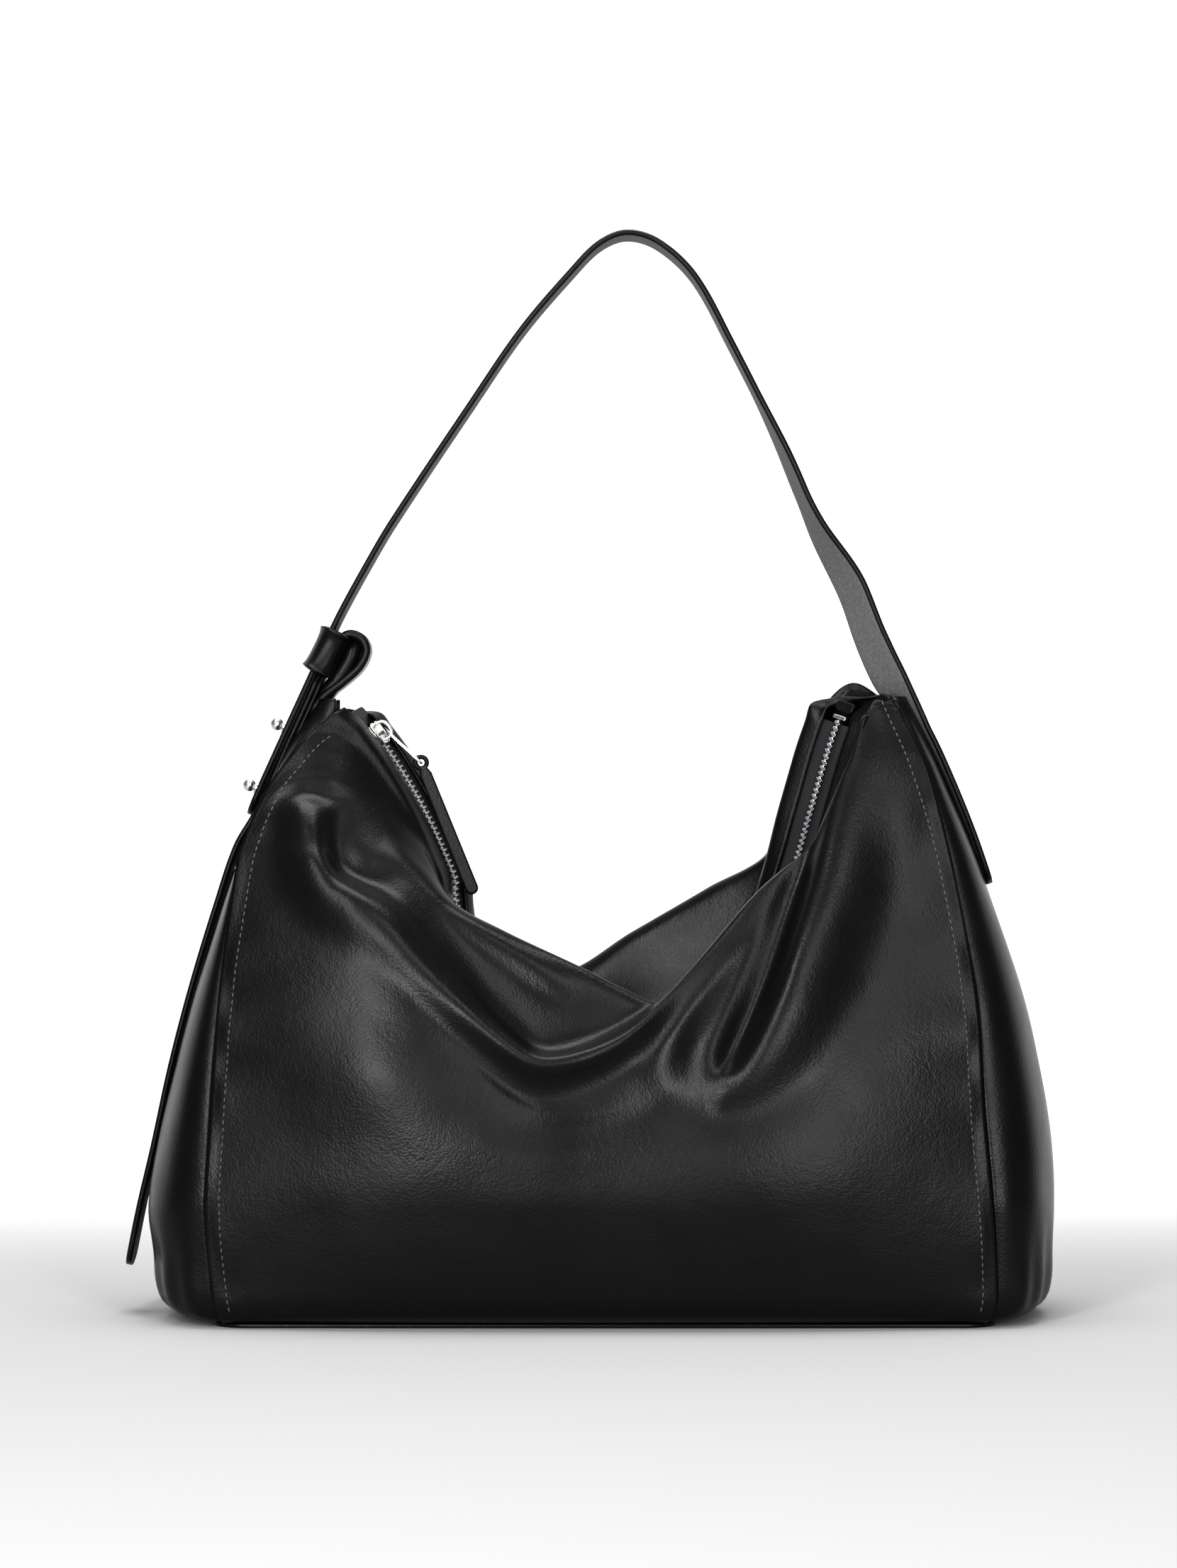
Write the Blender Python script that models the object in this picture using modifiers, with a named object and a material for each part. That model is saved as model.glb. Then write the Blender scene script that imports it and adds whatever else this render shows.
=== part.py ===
"""Slouchy leather hobo bag with a metal zip, a shoulder strap and a studded strap tail.

Metres, +Z up, the front faces -Y. The origin is the middle of the flat underside of the base.
The body is lofted through rails, each a smooth curve across the bag from one side seam to the
other. The panels' tops are drawn up to a tip at each side and slump between them.
"""

from math import cos, pi, radians, sin

import bpy
from mathutils import Matrix, Vector

# Driving dimensions
LEATHER = 0.0014
LINING = 0.0006
GAP = 0.0004
BASE_HALF_LENGTH = 0.188
BASE_HALF_DEPTH = 0.0575
BASE_THICKNESS = 0.0018
BOARD_THICKNESS = 0.0015
STRAP_WIDTH = 0.024
STRAP_THICKNESS = 0.003
BAND_THICKNESS = 0.0018
TAPE_THICKNESS = 0.0006
TAPE_INNER = 0.0036
TAPE_OUTER = 0.0150
PANEL_OFF_TAPE = 0.0012
TEETH_INNER = 0.0006
TEETH_OUTER = 0.0031
TEETH_THICKNESS = 0.0024

# The stretch of zip that the slider runs on is one arc in the plane y = 0
ZIP_CENTRE = Vector((-0.314, 0, 0.114))
ZIP_RADIUS = 0.260
ZIP_START = 38.4
SLIDER_AT = 36.6
SLIDER_LENGTH = 0.010
SLIDER_HALF_WIDTH = 0.005
BRIDGE_FOOT = 0.0040
BRIDGE_RISE = 0.0036
# The pull bar's pivot, off the slider's middle: out of the zip and down along it
PULL_PIVOT_LIFT = 0.0053
PULL_PIVOT_DOWN = 0.0005
PULL_ANGLE = -43.0
PULL_LENGTH = 0.0226
TAB_ANGLE = -68.0
TAB_EYE_RADIUS = 0.0036
TAB_LENGTH = 0.0662

# Rails from the left seam to the right seam, as (x, y, z), from the base upwards
FRONT_LOW_RAILS = (
    ((-0.1735, -0.0560, 0.0024), (0, -0.0565, 0.0024), (0.1765, -0.0560, 0.0024)),
    ((-0.1755, -0.0590, 0.012), (0, -0.0670, 0.012), (0.1785, -0.0590, 0.012)),
    ((-0.1790, -0.0600, 0.055), (-0.09, -0.0740, 0.055), (0, -0.0780, 0.055),
     (0.09, -0.0740, 0.055), (0.1765, -0.0600, 0.055)),
    ((-0.1772, -0.0575, 0.092), (-0.09, -0.0735, 0.092), (0, -0.0745, 0.088),
     (0.09, -0.0725, 0.094), (0.1730, -0.0575, 0.097)),
    ((-0.1757, -0.0550, 0.122), (-0.09, -0.0715, 0.117), (-0.02, -0.0720, 0.100),
     (0.05, -0.0675, 0.116), (0.11, -0.0610, 0.138), (0.1700, -0.0530, 0.150)),
)
FRONT_TOP_RAILS = (
    ((-0.1735, -0.0515, 0.155), (-0.13, -0.0600, 0.158), (-0.085, -0.0675, 0.142),
     (-0.045, -0.0700, 0.114), (-0.02, -0.0710, 0.110), (0.01, -0.0675, 0.119),
     (0.05, -0.0600, 0.143), (0.105, -0.0490, 0.185), (0.1580, -0.0385, 0.218)),
    ((-0.1662, -0.0405, 0.213), (-0.130, -0.0500, 0.207), (-0.1087, -0.0560, 0.1971),
     (-0.0793, -0.0640, 0.1703), (-0.0609, -0.0670, 0.1473), (-0.0425, -0.0700, 0.1302),
     (-0.0225, -0.0705, 0.1218), (0.0017, -0.0670, 0.1300), (0.0274, -0.0600, 0.1469),
     (0.0484, -0.0520, 0.1717), (0.0740, -0.0430, 0.2001), (0.1029, -0.0340, 0.2269),
     (0.1160, -0.0270, 0.2520), (0.1430, -0.0215, 0.2720)),
    ((-0.1530, -0.0300, 0.246), (-0.125, -0.0360, 0.236), (-0.103, -0.0380, 0.219),
     (-0.0815, -0.0430, 0.196), (-0.0625, -0.0490, 0.173), (-0.040, -0.0540, 0.158),
     (-0.012, -0.0560, 0.146), (0.012, -0.0540, 0.142), (0.030, -0.0500, 0.151),
     (0.050, -0.0435, 0.173), (0.076, -0.0355, 0.2005), (0.104, -0.0285, 0.2275),
     (0.1165, -0.0220, 0.2570), (0.1390, -0.0180, 0.2790)),
    ((-0.1370, -0.0225, 0.267), (-0.118, -0.0235, 0.256), (-0.100, -0.0225, 0.233),
     (-0.0845, -0.0240, 0.205), (-0.0675, -0.0275, 0.1924), (-0.0433, -0.0340, 0.1788),
     (-0.0109, -0.0400, 0.1639), (0.012, -0.0430, 0.152), (0.0282, -0.0430, 0.1465),
     (0.050, -0.0370, 0.168), (0.076, -0.0305, 0.197), (0.104, -0.0245, 0.224),
     (0.1165, -0.0190, 0.2560), (0.1370, -0.0165, 0.2830)),
    ((-0.1290, -0.0190, 0.2745), (-0.114, -0.0180, 0.2620), (-0.098, -0.0180, 0.238),
     (-0.0815, -0.0190, 0.2120), (-0.068, -0.0200, 0.181), (-0.050, -0.0240, 0.150),
     (-0.012, -0.0270, 0.136), (0.022, -0.0280, 0.133), (0.052, -0.0250, 0.148),
     (0.081, -0.0220, 0.181), (0.1035, -0.0190, 0.216), (0.1130, -0.0170, 0.2540),
     (0.1355, -0.0160, 0.2855)),
)
BACK_TOP_RAILS = (
    ((-0.1730, 0.0505, 0.160), (-0.11, 0.0600, 0.150), (-0.02, 0.0650, 0.118),
     (0.05, 0.0620, 0.150), (0.11, 0.0520, 0.185), (0.1565, 0.0370, 0.224)),
    ((-0.1600, 0.0350, 0.231), (-0.125, 0.0400, 0.215), (-0.085, 0.0500, 0.180),
     (-0.050, 0.0540, 0.158), (-0.020, 0.0550, 0.149), (0.012, 0.0530, 0.165),
     (0.050, 0.0490, 0.188), (0.080, 0.0420, 0.206), (0.105, 0.0340, 0.235),
     (0.1450, 0.0235, 0.268)),
    ((-0.1420, 0.0245, 0.261), (-0.118, 0.0270, 0.247), (-0.083, 0.0370, 0.198),
     (-0.050, 0.0420, 0.169), (-0.020, 0.0440, 0.156), (0.0155, 0.0430, 0.1768),
     (0.0513, 0.0390, 0.1974), (0.0807, 0.0340, 0.2149), (0.0930, 0.0270, 0.2485),
     (0.1040, 0.0220, 0.2740), (0.1390, 0.0180, 0.2790)),
    ((-0.1310, 0.0200, 0.273), (-0.113, 0.0190, 0.2600), (-0.083, 0.0230, 0.200),
     (-0.050, 0.0290, 0.152), (-0.010, 0.0300, 0.135), (0.022, 0.0300, 0.135),
     (0.052, 0.0280, 0.152), (0.078, 0.0240, 0.188), (0.0960, 0.0210, 0.230),
     (0.1085, 0.0190, 0.2700), (0.1355, 0.0162, 0.2855)),
)
# Beyond the slider's arc the zip line drops behind the slumped front and climbs to the right tip
ZIP_VALLEY = (
    (-0.0690, 0, 0.1950), (-0.0655, 0, 0.1720), (-0.0615, 0, 0.1520), (-0.0545, 0, 0.1350),
    (-0.0430, 0, 0.1220), (-0.0240, 0, 0.1145), (0, 0, 0.1125), (0.0240, 0, 0.1140),
    (0.0470, 0, 0.1235), (0.0680, 0, 0.1450), (0.0840, 0, 0.1740), (0.0960, 0, 0.2040),
    (0.1035, 0, 0.2290), (0.1100, 0, 0.2600), (0.1135, 0, 0.2790),
)
# Gusset outline at mid depth, as (distance from the middle, height), from the base to the tip
GUSSET_LEFT = (
    (0.1835, 0.0024), (0.2055, 0.0125), (0.2080, 0.0300), (0.2085, 0.0500), (0.2045, 0.0795),
    (0.1950, 0.1165), (0.1840, 0.1550), (0.1718, 0.1950), (0.1626, 0.2230), (0.1552, 0.2419),
    (0.1425, 0.2704),
)
GUSSET_RIGHT = (
    (0.1860, 0.0024), (0.2075, 0.0125), (0.2090, 0.0300), (0.2100, 0.0600), (0.2085, 0.0850),
    (0.2030, 0.1165), (0.1935, 0.1550), (0.1825, 0.1850), (0.1695, 0.2200), (0.1580, 0.2470),
    (0.1480, 0.2700),
)
# Side seams as (distance from the middle, half depth, height), from the base to the tip
SEAM_LEFT = (
    (0.1735, 0.0560, 0.0024), (0.1755, 0.0590, 0.012), (0.1790, 0.0600, 0.055),
    (0.1772, 0.0575, 0.092), (0.1757, 0.0550, 0.122), (0.1735, 0.0515, 0.155),
    (0.1662, 0.0405, 0.213), (0.1530, 0.0300, 0.246), (0.1370, 0.0225, 0.267),
)
SEAM_RIGHT = (
    (0.1765, 0.0560, 0.0024), (0.1785, 0.0590, 0.012), (0.1765, 0.0600, 0.055),
    (0.1730, 0.0575, 0.097), (0.1700, 0.0530, 0.150), (0.1580, 0.0385, 0.218),
    (0.1430, 0.0215, 0.272),
)
GUSSET_TOP = 0.268

# The axis that the strap swings about, through both its ends
SWING_LEFT = Vector((-0.1085, 0, 0.3490))
SWING_RIGHT = Vector((0.1205, 0, 0.3390))
SWING_GAP = 0.0003
# Strap centre lines in the plane y = 0, as (x, z)
STRAP_LINE = (
    (-0.1085, 0.3490), (-0.0976, 0.3675), (-0.0610, 0.4225), (-0.0370, 0.4575), (-0.0140, 0.4845),
    (-0.0010, 0.4975), (0.0116, 0.5025), (0.0260, 0.4985), (0.0430, 0.4830), (0.0600, 0.4525),
    (0.0830, 0.4065), (0.1030, 0.3665), (0.1205, 0.3390),
)
STUD_RUN_LINE = (
    (-0.1085, 0.3490), (-0.1210, 0.3262), (-0.1290, 0.3095), (-0.1365, 0.2930),
    (-0.1461, 0.2720), (-0.1590, 0.2435), (-0.1626, 0.2350),
)
TAIL_LINE = (
    (-0.1631, 0.2338), (-0.1695, 0.2175), (-0.1785, 0.1910), (-0.1895, 0.1550),
    (-0.1995, 0.1170), (-0.2080, 0.0780), (-0.2145, 0.0500), (-0.2200, 0.0225),
)
STRAP_END_LINE = (
    (0.1205, 0.3390), (0.1325, 0.3135), (0.1425, 0.2930), (0.1512, 0.2735),
    (0.1608, 0.2500), (0.1728, 0.2225), (0.1810, 0.2000),
)
SIDE_BAND_HEIGHTS = (0.264, 0.160)
STUDS = ((-0.1461, 0.2720), (-0.1590, 0.2435))
OUT_OF_STRAP = Vector((-0.911, 0, 0.412))
KNOT = Vector((-0.1292, 0, 0.3085))
KNOT_ALONG = Vector((0.437, 0, 0.899)).normalized()


def clear_scene():
    for obj in list(bpy.data.objects):
        bpy.data.objects.remove(obj, do_unlink=True)


def collection(name):
    made = bpy.data.collections.new(name)
    bpy.context.scene.collection.children.link(made)
    return made


def material(name, color, roughness, metallic=0.0):
    made = bpy.data.materials.new(name)
    made.use_nodes = True
    shader = made.node_tree.nodes["Principled BSDF"]
    shader.inputs["Base Color"].default_value = (*color, 1)
    shader.inputs["Roughness"].default_value = roughness
    shader.inputs["Metallic"].default_value = metallic
    return made


def put(name, data, look, group, matrix=None):
    obj = bpy.data.objects.new(name, data)
    data.materials.append(look)
    if matrix is not None:
        obj.matrix_world = matrix
    group.objects.link(obj)
    return obj


def knots_of(points):
    """How far along the straight runs between them each point is."""
    knots = [0.0]
    for a, b in zip(points, points[1:]):
        knots.append(knots[-1] + (b - a).length)
    return knots


def spline(points, fraction):
    """The point this far along a smooth curve through the points."""
    points = [Vector(p) for p in points]
    knots = knots_of(points)
    slopes = []
    for i in range(len(points)):
        low, high = max(i - 1, 0), min(i + 1, len(points) - 1)
        slopes.append((points[high] - points[low]) / (knots[high] - knots[low]))
    place = fraction * knots[-1]
    i = min(sum(knot <= place for knot in knots) - 1, len(points) - 2)
    span = knots[i + 1] - knots[i]
    t = (place - knots[i]) / span
    return (
        (2 * t**3 - 3 * t**2 + 1) * points[i]
        + (t**3 - 2 * t**2 + t) * span * slopes[i]
        + (3 * t**2 - 2 * t**3) * points[i + 1]
        + (t**3 - t**2) * span * slopes[i + 1]
    )


def along(points, count):
    return [spline(points, i / (count - 1)) for i in range(count)]


def zip_direction(angle):
    """Out of the zip's arc, away from its centre, at this angle."""
    return Vector((cos(radians(angle)), 0, sin(radians(angle))))


def zip_line(count):
    """Points along the zip from its left end to its right end."""
    arc = [ZIP_CENTRE + ZIP_RADIUS * zip_direction(a) for a in (ZIP_START, 34, 30, 26, 22, 19.5)]
    return along(arc + [Vector(p) for p in ZIP_VALLEY], count)


def normals_of(line):
    """The directions square to a line in the plane y = 0, on its right as it runs."""
    found = []
    for i in range(len(line)):
        run = line[min(i + 1, len(line) - 1)] - line[max(i - 1, 0)]
        found.append(Vector((-run.z, 0, run.x)).normalized())
    return found


def grid_of(rails, columns, steps):
    """A grid of points, row by row, on the smooth surface through the rails.

    steps says how many rows there are from each rail to the next.
    """
    lines = [along(rail, columns) for rail in rails]
    grid = []
    for i in range(columns):
        points = [line[i] for line in lines]
        knots = knots_of(points)
        column = [points[0]]
        for k, count in enumerate(steps):
            for step in range(1, count + 1):
                place = knots[k] + (knots[k + 1] - knots[k]) * step / count
                column.append(spline(points, min(place / knots[-1], 1.0)))
        grid.append(column)
    return [list(row) for row in zip(*grid)]


def moved_in(grid, distance):
    """The grid moved off its surface, against the side that the panels' outsides face."""
    moved = []
    for j, row in enumerate(grid):
        new_row = []
        for i, point in enumerate(row):
            across = row[min(i + 1, len(row) - 1)] - row[max(i - 1, 0)]
            up = grid[min(j + 1, len(grid) - 1)][i] - grid[max(j - 1, 0)][i]
            new_row.append(point - distance * across.cross(up).normalized())
        moved.append(new_row)
    return moved


def part_of(grid, columns, rows):
    return [row[columns[0]:columns[1]:columns[2]] for row in grid[rows[0]:rows[1]:rows[2]]]


def shell(name, grid, thickness, look, group):
    """A leather or cloth panel: the grid is its outer face, thickened inwards."""
    mesh = bpy.data.meshes.new(name)
    width = len(grid[0])
    points = [point for row in grid for point in row]
    faces = [
        (j * width + i, j * width + i + 1, (j + 1) * width + i + 1, (j + 1) * width + i)
        for j in range(len(grid) - 1)
        for i in range(width - 1)
    ]
    mesh.from_pydata(points, [], faces)
    mesh.shade_smooth()
    panel = put(name, mesh, look, group)
    solid = panel.modifiers.new("thickness", "SOLIDIFY")
    solid.thickness = thickness
    solid.offset = -1
    return panel


def plate(name, outline, half_thickness, look, group, matrix, holes=()):
    """A flat outline in the local XY plane, extruded both ways along local Z."""
    curve = bpy.data.curves.new(name, "CURVE")
    curve.dimensions = "2D"
    curve.fill_mode = "BOTH"
    curve.extrude = half_thickness
    for ring in (outline, *holes):
        run = curve.splines.new("POLY")
        run.points.add(len(ring) - 1)
        for point, (x, y) in zip(run.points, ring):
            point.co = (x, y, 0, 1)
        run.use_cyclic_u = True
    return put(name, curve, look, group, matrix)


def upright(y):
    """Puts a plate's local XY plane in the plane of X and Z, at this y."""
    return Matrix.Translation((0, y, 0)) @ Matrix.Rotation(pi / 2, 4, "X")


def cut_square_to_swing(edge, end, inwards):
    """Slides one end of a band's edge along itself, onto the plane square to the swing axis.

    The plane stands just inside the band's end, so that a band on its other side clears it.
    """
    axis = (SWING_RIGHT - SWING_LEFT).normalized()
    first, second = (edge[0], edge[1]) if end == 0 else (edge[-1], edge[-2])
    pivot = SWING_LEFT if first.x < 0 else SWING_RIGHT
    run = first - second
    reach = inwards * SWING_GAP - (first - pivot).dot(axis)
    edge[end] = first + run * (reach / run.dot(axis))


def band(name, line, thickness, y_range, look, group, lift=0.0, cuts=()):
    """A flat band that follows a line in the plane y = 0, its width along Y."""
    normals = normals_of(line)
    near = [p + (lift - thickness / 2) * n for p, n in zip(line, normals)]
    far = [p + (lift + thickness / 2) * n for p, n in zip(line, normals)]
    for end, inwards in cuts:
        cut_square_to_swing(near, end, inwards)
        cut_square_to_swing(far, end, inwards)
    outline = [(p.x, p.z) for p in near + far[::-1]]
    low, high = y_range
    return plate(name, outline, (high - low) / 2, look, group, upright((low + high) / 2))


def rounded(half_x, half_y, radius, steps=4, centre=(0, 0)):
    """A rounded rectangle's outline."""
    ring = []
    for quarter, (sx, sy) in enumerate(((1, 1), (-1, 1), (-1, -1), (1, -1))):
        for i in range(steps + 1):
            angle = pi / 2 * (quarter + i / steps)
            x = sx * (half_x - radius) + radius * cos(angle)
            y = sy * (half_y - radius) + radius * sin(angle)
            ring.append((centre[0] + x, centre[1] + y))
    return ring


def frame_at(origin, x_axis, y_axis):
    """A matrix that places local X and Y along these directions."""
    x_axis, y_axis = x_axis.normalized(), y_axis.normalized()
    z_axis = x_axis.cross(y_axis)
    turn = Matrix((x_axis, y_axis, z_axis)).transposed().to_4x4()
    return Matrix.Translation(origin) @ turn


def turned(name, profile, look, group, matrix):
    """A solid of revolution about local Z, from a profile at +X that runs top to bottom."""
    mesh = bpy.data.meshes.new(name)
    edges = [(i, i + 1) for i in range(len(profile) - 1)]
    mesh.from_pydata([(r, 0, z) for r, z in profile], edges, [])
    piece = put(name, mesh, look, group, matrix)
    screw = piece.modifiers.new("turn", "SCREW")
    screw.steps = screw.render_steps = 14
    screw.use_merge_vertices = True
    screw.merge_threshold = 1e-5
    return piece


def make_panels(looks, group):
    line = zip_line(34)
    normals = normals_of(line)
    lift = TAPE_THICKNESS / 2 + PANEL_OFF_TAPE + LEATHER

    def zip_rail(y, tips):
        mid = [p + lift * n + Vector((0, y, 0)) for p, n in zip(line, normals)]
        return [Vector(tips[0]), *mid, Vector(tips[1])]

    front_rails = FRONT_LOW_RAILS + FRONT_TOP_RAILS + (
        zip_rail(-0.0160, ((-0.1235, -0.0175, 0.2795), (0.1335, -0.0158, 0.2872))),
        zip_rail(-0.0075, ((-0.1190, -0.0140, 0.2820), (0.1300, -0.0140, 0.2885))),
    )
    low_back = tuple(tuple((x, -y, z) for x, y, z in rail) for rail in FRONT_LOW_RAILS)
    back_rails = low_back + BACK_TOP_RAILS + (
        zip_rail(0.0160, ((-0.1235, 0.0175, 0.2795), (0.1335, 0.0158, 0.2872))),
        zip_rail(0.0075, ((-0.1190, 0.0140, 0.2820), (0.1300, 0.0140, 0.2885))),
    )
    for side, rails, steps in (
        ("front", front_rails, (1, 1, 1, 1, 1, 2, 1, 2, 2, 1, 1)),
        ("back", back_rails, (1, 1, 1, 1, 1, 2, 2, 2, 1, 1)),
    ):
        grid = grid_of(rails, 31, steps)
        if side == "back":
            grid = [row[::-1] for row in grid]
        shell(side + "_panel", grid, LEATHER, looks["leather"], group)
        inner = moved_in(grid, LEATHER + 0.0015)
        lining = part_of(inner, (2, 29, 3), (1, 7, 1))
        shell(side + "_lining", lining, LINING, looks["lining"], group)
        if side == "back":
            pocket = part_of(moved_in(grid, LEATHER + LINING + 0.0045), (9, 22, 3), (2, 5, 1))
            shell("inner_pocket", pocket, LINING, looks["lining"], group)


def make_gussets(looks, group):
    for side, sign, outline, seam in (
        ("left", -1, GUSSET_LEFT, SEAM_LEFT),
        ("right", 1, GUSSET_RIGHT, SEAM_RIGHT),
    ):
        middle = [(x, 0, z) for x, z in outline]
        rails = []
        levels = 15
        edge = LEATHER + GAP + 0.0008
        for j in range(levels):
            outer = spline(middle, j / (levels - 1))
            corner = at_height(seam, outer.z)
            out, half = outer.x, corner.y
            rail = []
            for turn in range(9):
                angle = pi * turn / 8
                y = -(half - edge) * cos(angle)
                x = corner.x + 0.0004 + (out - corner.x) * sin(angle) ** 0.8
                rail.append(Vector((sign * x, sign * y, outer.z)))
            rails.append(rail)
        shell("gusset_" + side, rails, LEATHER, looks["leather"], group)
        lining = part_of(moved_in(rails, LEATHER + 0.0012), (1, 8, 1), (1, 12, 2))
        shell("gusset_lining_" + side, lining, LINING, looks["lining"], group)


def at_height(seam, height):
    """The seam's point at this height, straight between its points."""
    points = [Vector(p) for p in seam]
    for low, high in zip(points, points[1:]):
        if height <= high.z:
            break
    part = (height - low.z) / (high.z - low.z)
    return low.lerp(high, max(part, 0))


def make_base(looks, group):
    outline = rounded(BASE_HALF_LENGTH, BASE_HALF_DEPTH, 0.014)
    where = Matrix.Translation((0, 0, BASE_THICKNESS / 2))
    plate("base_panel", outline, BASE_THICKNESS / 2, looks["leather"], group, where)
    board = rounded(BASE_HALF_LENGTH - 0.018, BASE_HALF_DEPTH - 0.0065, 0.010)
    height = BASE_THICKNESS + 0.0006 + BOARD_THICKNESS / 2
    where = Matrix.Translation((0, 0, height))
    plate("base_board", board, BOARD_THICKNESS / 2, looks["board"], group, where)
    cloth = rounded(BASE_HALF_LENGTH - 0.020, BASE_HALF_DEPTH - 0.0085, 0.010)
    height += BOARD_THICKNESS / 2 + GAP + LINING / 2
    where = Matrix.Translation((0, 0, height))
    plate("base_lining", cloth, LINING / 2, looks["lining"], group, where)


def make_zip(looks, group):
    line = zip_line(46)
    for side, sign in (("front", -1), ("back", 1)):
        tape = sorted((sign * TAPE_INNER, sign * TAPE_OUTER))
        band("zip_tape_" + side, line[:-1], TAPE_THICKNESS, tape, looks["tape"], group)
        teeth = sorted((sign * TEETH_INNER, sign * TEETH_OUTER))
        band("zip_teeth_" + side, line[1:-2], TEETH_THICKNESS, teeth, looks["metal"], group)
    out = zip_direction(ZIP_START)
    down = Vector((out.z, 0, -out.x))
    start = ZIP_CENTRE + ZIP_RADIUS * out
    stop = rounded(0.0007, 0.0031, 0.0005, 3)
    where = frame_at(start + 0.0012 * down, down, Vector((0, 1, 0)))
    plate("zip_stop_left", stop, 0.0012, looks["metal"], group, where)
    run = (line[-2] - line[-3]).normalized()
    where = frame_at(line[-3] + 0.0014 * run, run, Vector((0, 1, 0)))
    plate("zip_stop_right", stop, 0.0012, looks["metal"], group, where)
    for side, place, tilt in (
        ("left", Vector((-0.1178, 0, 0.2860)), out),
        ("right", Vector((0.1180, 0, 0.2905)), Vector((-0.3, 0, 1))),
    ):
        where = frame_at(place, Vector((tilt.z, 0, -tilt.x)), Vector((0, 1, 0)))
        tab = rounded(0.0045, 0.0100, 0.003, 4)
        plate("zip_end_tab_" + side, tab, 0.0012, looks["leather"], group, where)


def make_slider(looks, group):
    out = zip_direction(SLIDER_AT)
    down = Vector((out.z, 0, -out.x))
    middle = ZIP_CENTRE + ZIP_RADIUS * out
    section = slider_section()
    where = frame_at(middle, Vector((0, 1, 0)), out)
    body = plate("slider_body", section, SLIDER_LENGTH / 2, looks["metal"], group, where)
    body.data.splines[0].use_smooth = False

    bridge = bpy.data.curves.new("slider_bridge", "CURVE")
    bridge.dimensions = "3D"
    bridge.bevel_depth = 0.0007
    bridge.bevel_resolution = 2
    bridge.use_fill_caps = True
    wire = bridge.splines.new("POLY")
    arch = []
    for i in range(13):
        angle = pi * i / 12
        lift = BRIDGE_FOOT + BRIDGE_RISE * sin(angle) ** 0.6
        arch.append(middle - 0.0042 * cos(angle) * down + lift * out)
    wire.points.add(len(arch) - 1)
    for point, place in zip(wire.points, arch):
        point.co = (*place, 1)
    put("slider_bridge", bridge, looks["metal"], group)

    pivot = middle + PULL_PIVOT_LIFT * out + PULL_PIVOT_DOWN * down
    lean = Vector((cos(radians(PULL_ANGLE)), 0, sin(radians(PULL_ANGLE))))
    end = PULL_LENGTH + 0.0007
    bar = [(-0.0008, -0.0028), (-0.0008, 0.0028), (0.0060, 0.0028), (end - 0.003, 0.0040),
           (end, 0.0034), (end, -0.0034), (end - 0.003, -0.0040), (0.0060, -0.0028)]
    top_window = rounded(0.0021, 0.0016, 0.0005, 2, (0.0029, 0))
    low_window = rounded(0.0021, 0.0022, 0.0005, 2, (PULL_LENGTH - 0.0028, 0))
    where = frame_at(pivot, lean, Vector((0, 1, 0)))
    plate("pull_bar", bar, 0.0005, looks["metal"], group, where, (top_window, low_window))

    eye = pivot + PULL_LENGTH * lean
    hang = Vector((cos(radians(TAB_ANGLE)), 0, sin(radians(TAB_ANGLE))))
    side = Vector((-hang.z, 0, hang.x))
    ring = rounded(0.0016, 0.0016, 0.0016, 5)
    turns = [pi * (1 / 6 + 10 / 6 * i / 14) for i in range(15)]
    head = [(TAB_EYE_RADIUS * cos(a), TAB_EYE_RADIUS * sin(a)) for a in turns]
    strip = head + [(0.006, -0.0028), (TAB_LENGTH - 0.0022, -0.0030), (TAB_LENGTH, -0.0015),
                    (TAB_LENGTH, 0.0015), (TAB_LENGTH - 0.0022, 0.0030), (0.006, 0.0028)]
    where = frame_at(eye, hang, side)
    plate("pull_tab", strip, 0.0015, looks["leather"], group, where, (ring,))


def slider_section():
    """The slider's section across the zip: two plates round the teeth, joined by a thin post."""
    top, inner, slot = 0.0030, 0.0017, 0.0008
    wide, cavity, post = SLIDER_HALF_WIDTH, 0.0034, 0.0003
    upper_right = [(post, inner), (cavity, inner), (cavity, slot), (wide, slot), (wide, top)]
    upper_left = [(-x, y) for x, y in reversed(upper_right)]
    lower = [(-x, -y) for x, y in upper_right + upper_left]
    return upper_right + upper_left + lower


def make_strap(looks, group):
    width = (-STRAP_WIDTH / 2, STRAP_WIDTH / 2)
    for name, line, count, cuts in (
        ("shoulder_strap", STRAP_LINE, 40, ((0, 1), (-1, -1))),
        ("strap_stud_run", STUD_RUN_LINE, 14, ((0, -1),)),
        ("strap_tail", TAIL_LINE, 20, ()),
        ("strap_right_end", STRAP_END_LINE, 14, ((0, 1),)),
    ):
        points = along([(x, 0, z) for x, z in line], count)
        band(name, points, STRAP_THICKNESS, width, looks["leather"], group, cuts=cuts)
    # The side band lies on the left gusset, under the studded run and the tail
    side = [p for p in along([(-x, 0, z) for x, z in GUSSET_LEFT], 40)
            if SIDE_BAND_HEIGHTS[1] < p.z < SIDE_BAND_HEIGHTS[0]][::-1]
    narrow = (-STRAP_WIDTH / 2 + 0.001, STRAP_WIDTH / 2 - 0.001)
    lift = -BAND_THICKNESS / 2 - GAP
    band("side_band_left", side, BAND_THICKNESS, narrow, looks["leather"], group, lift)


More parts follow.
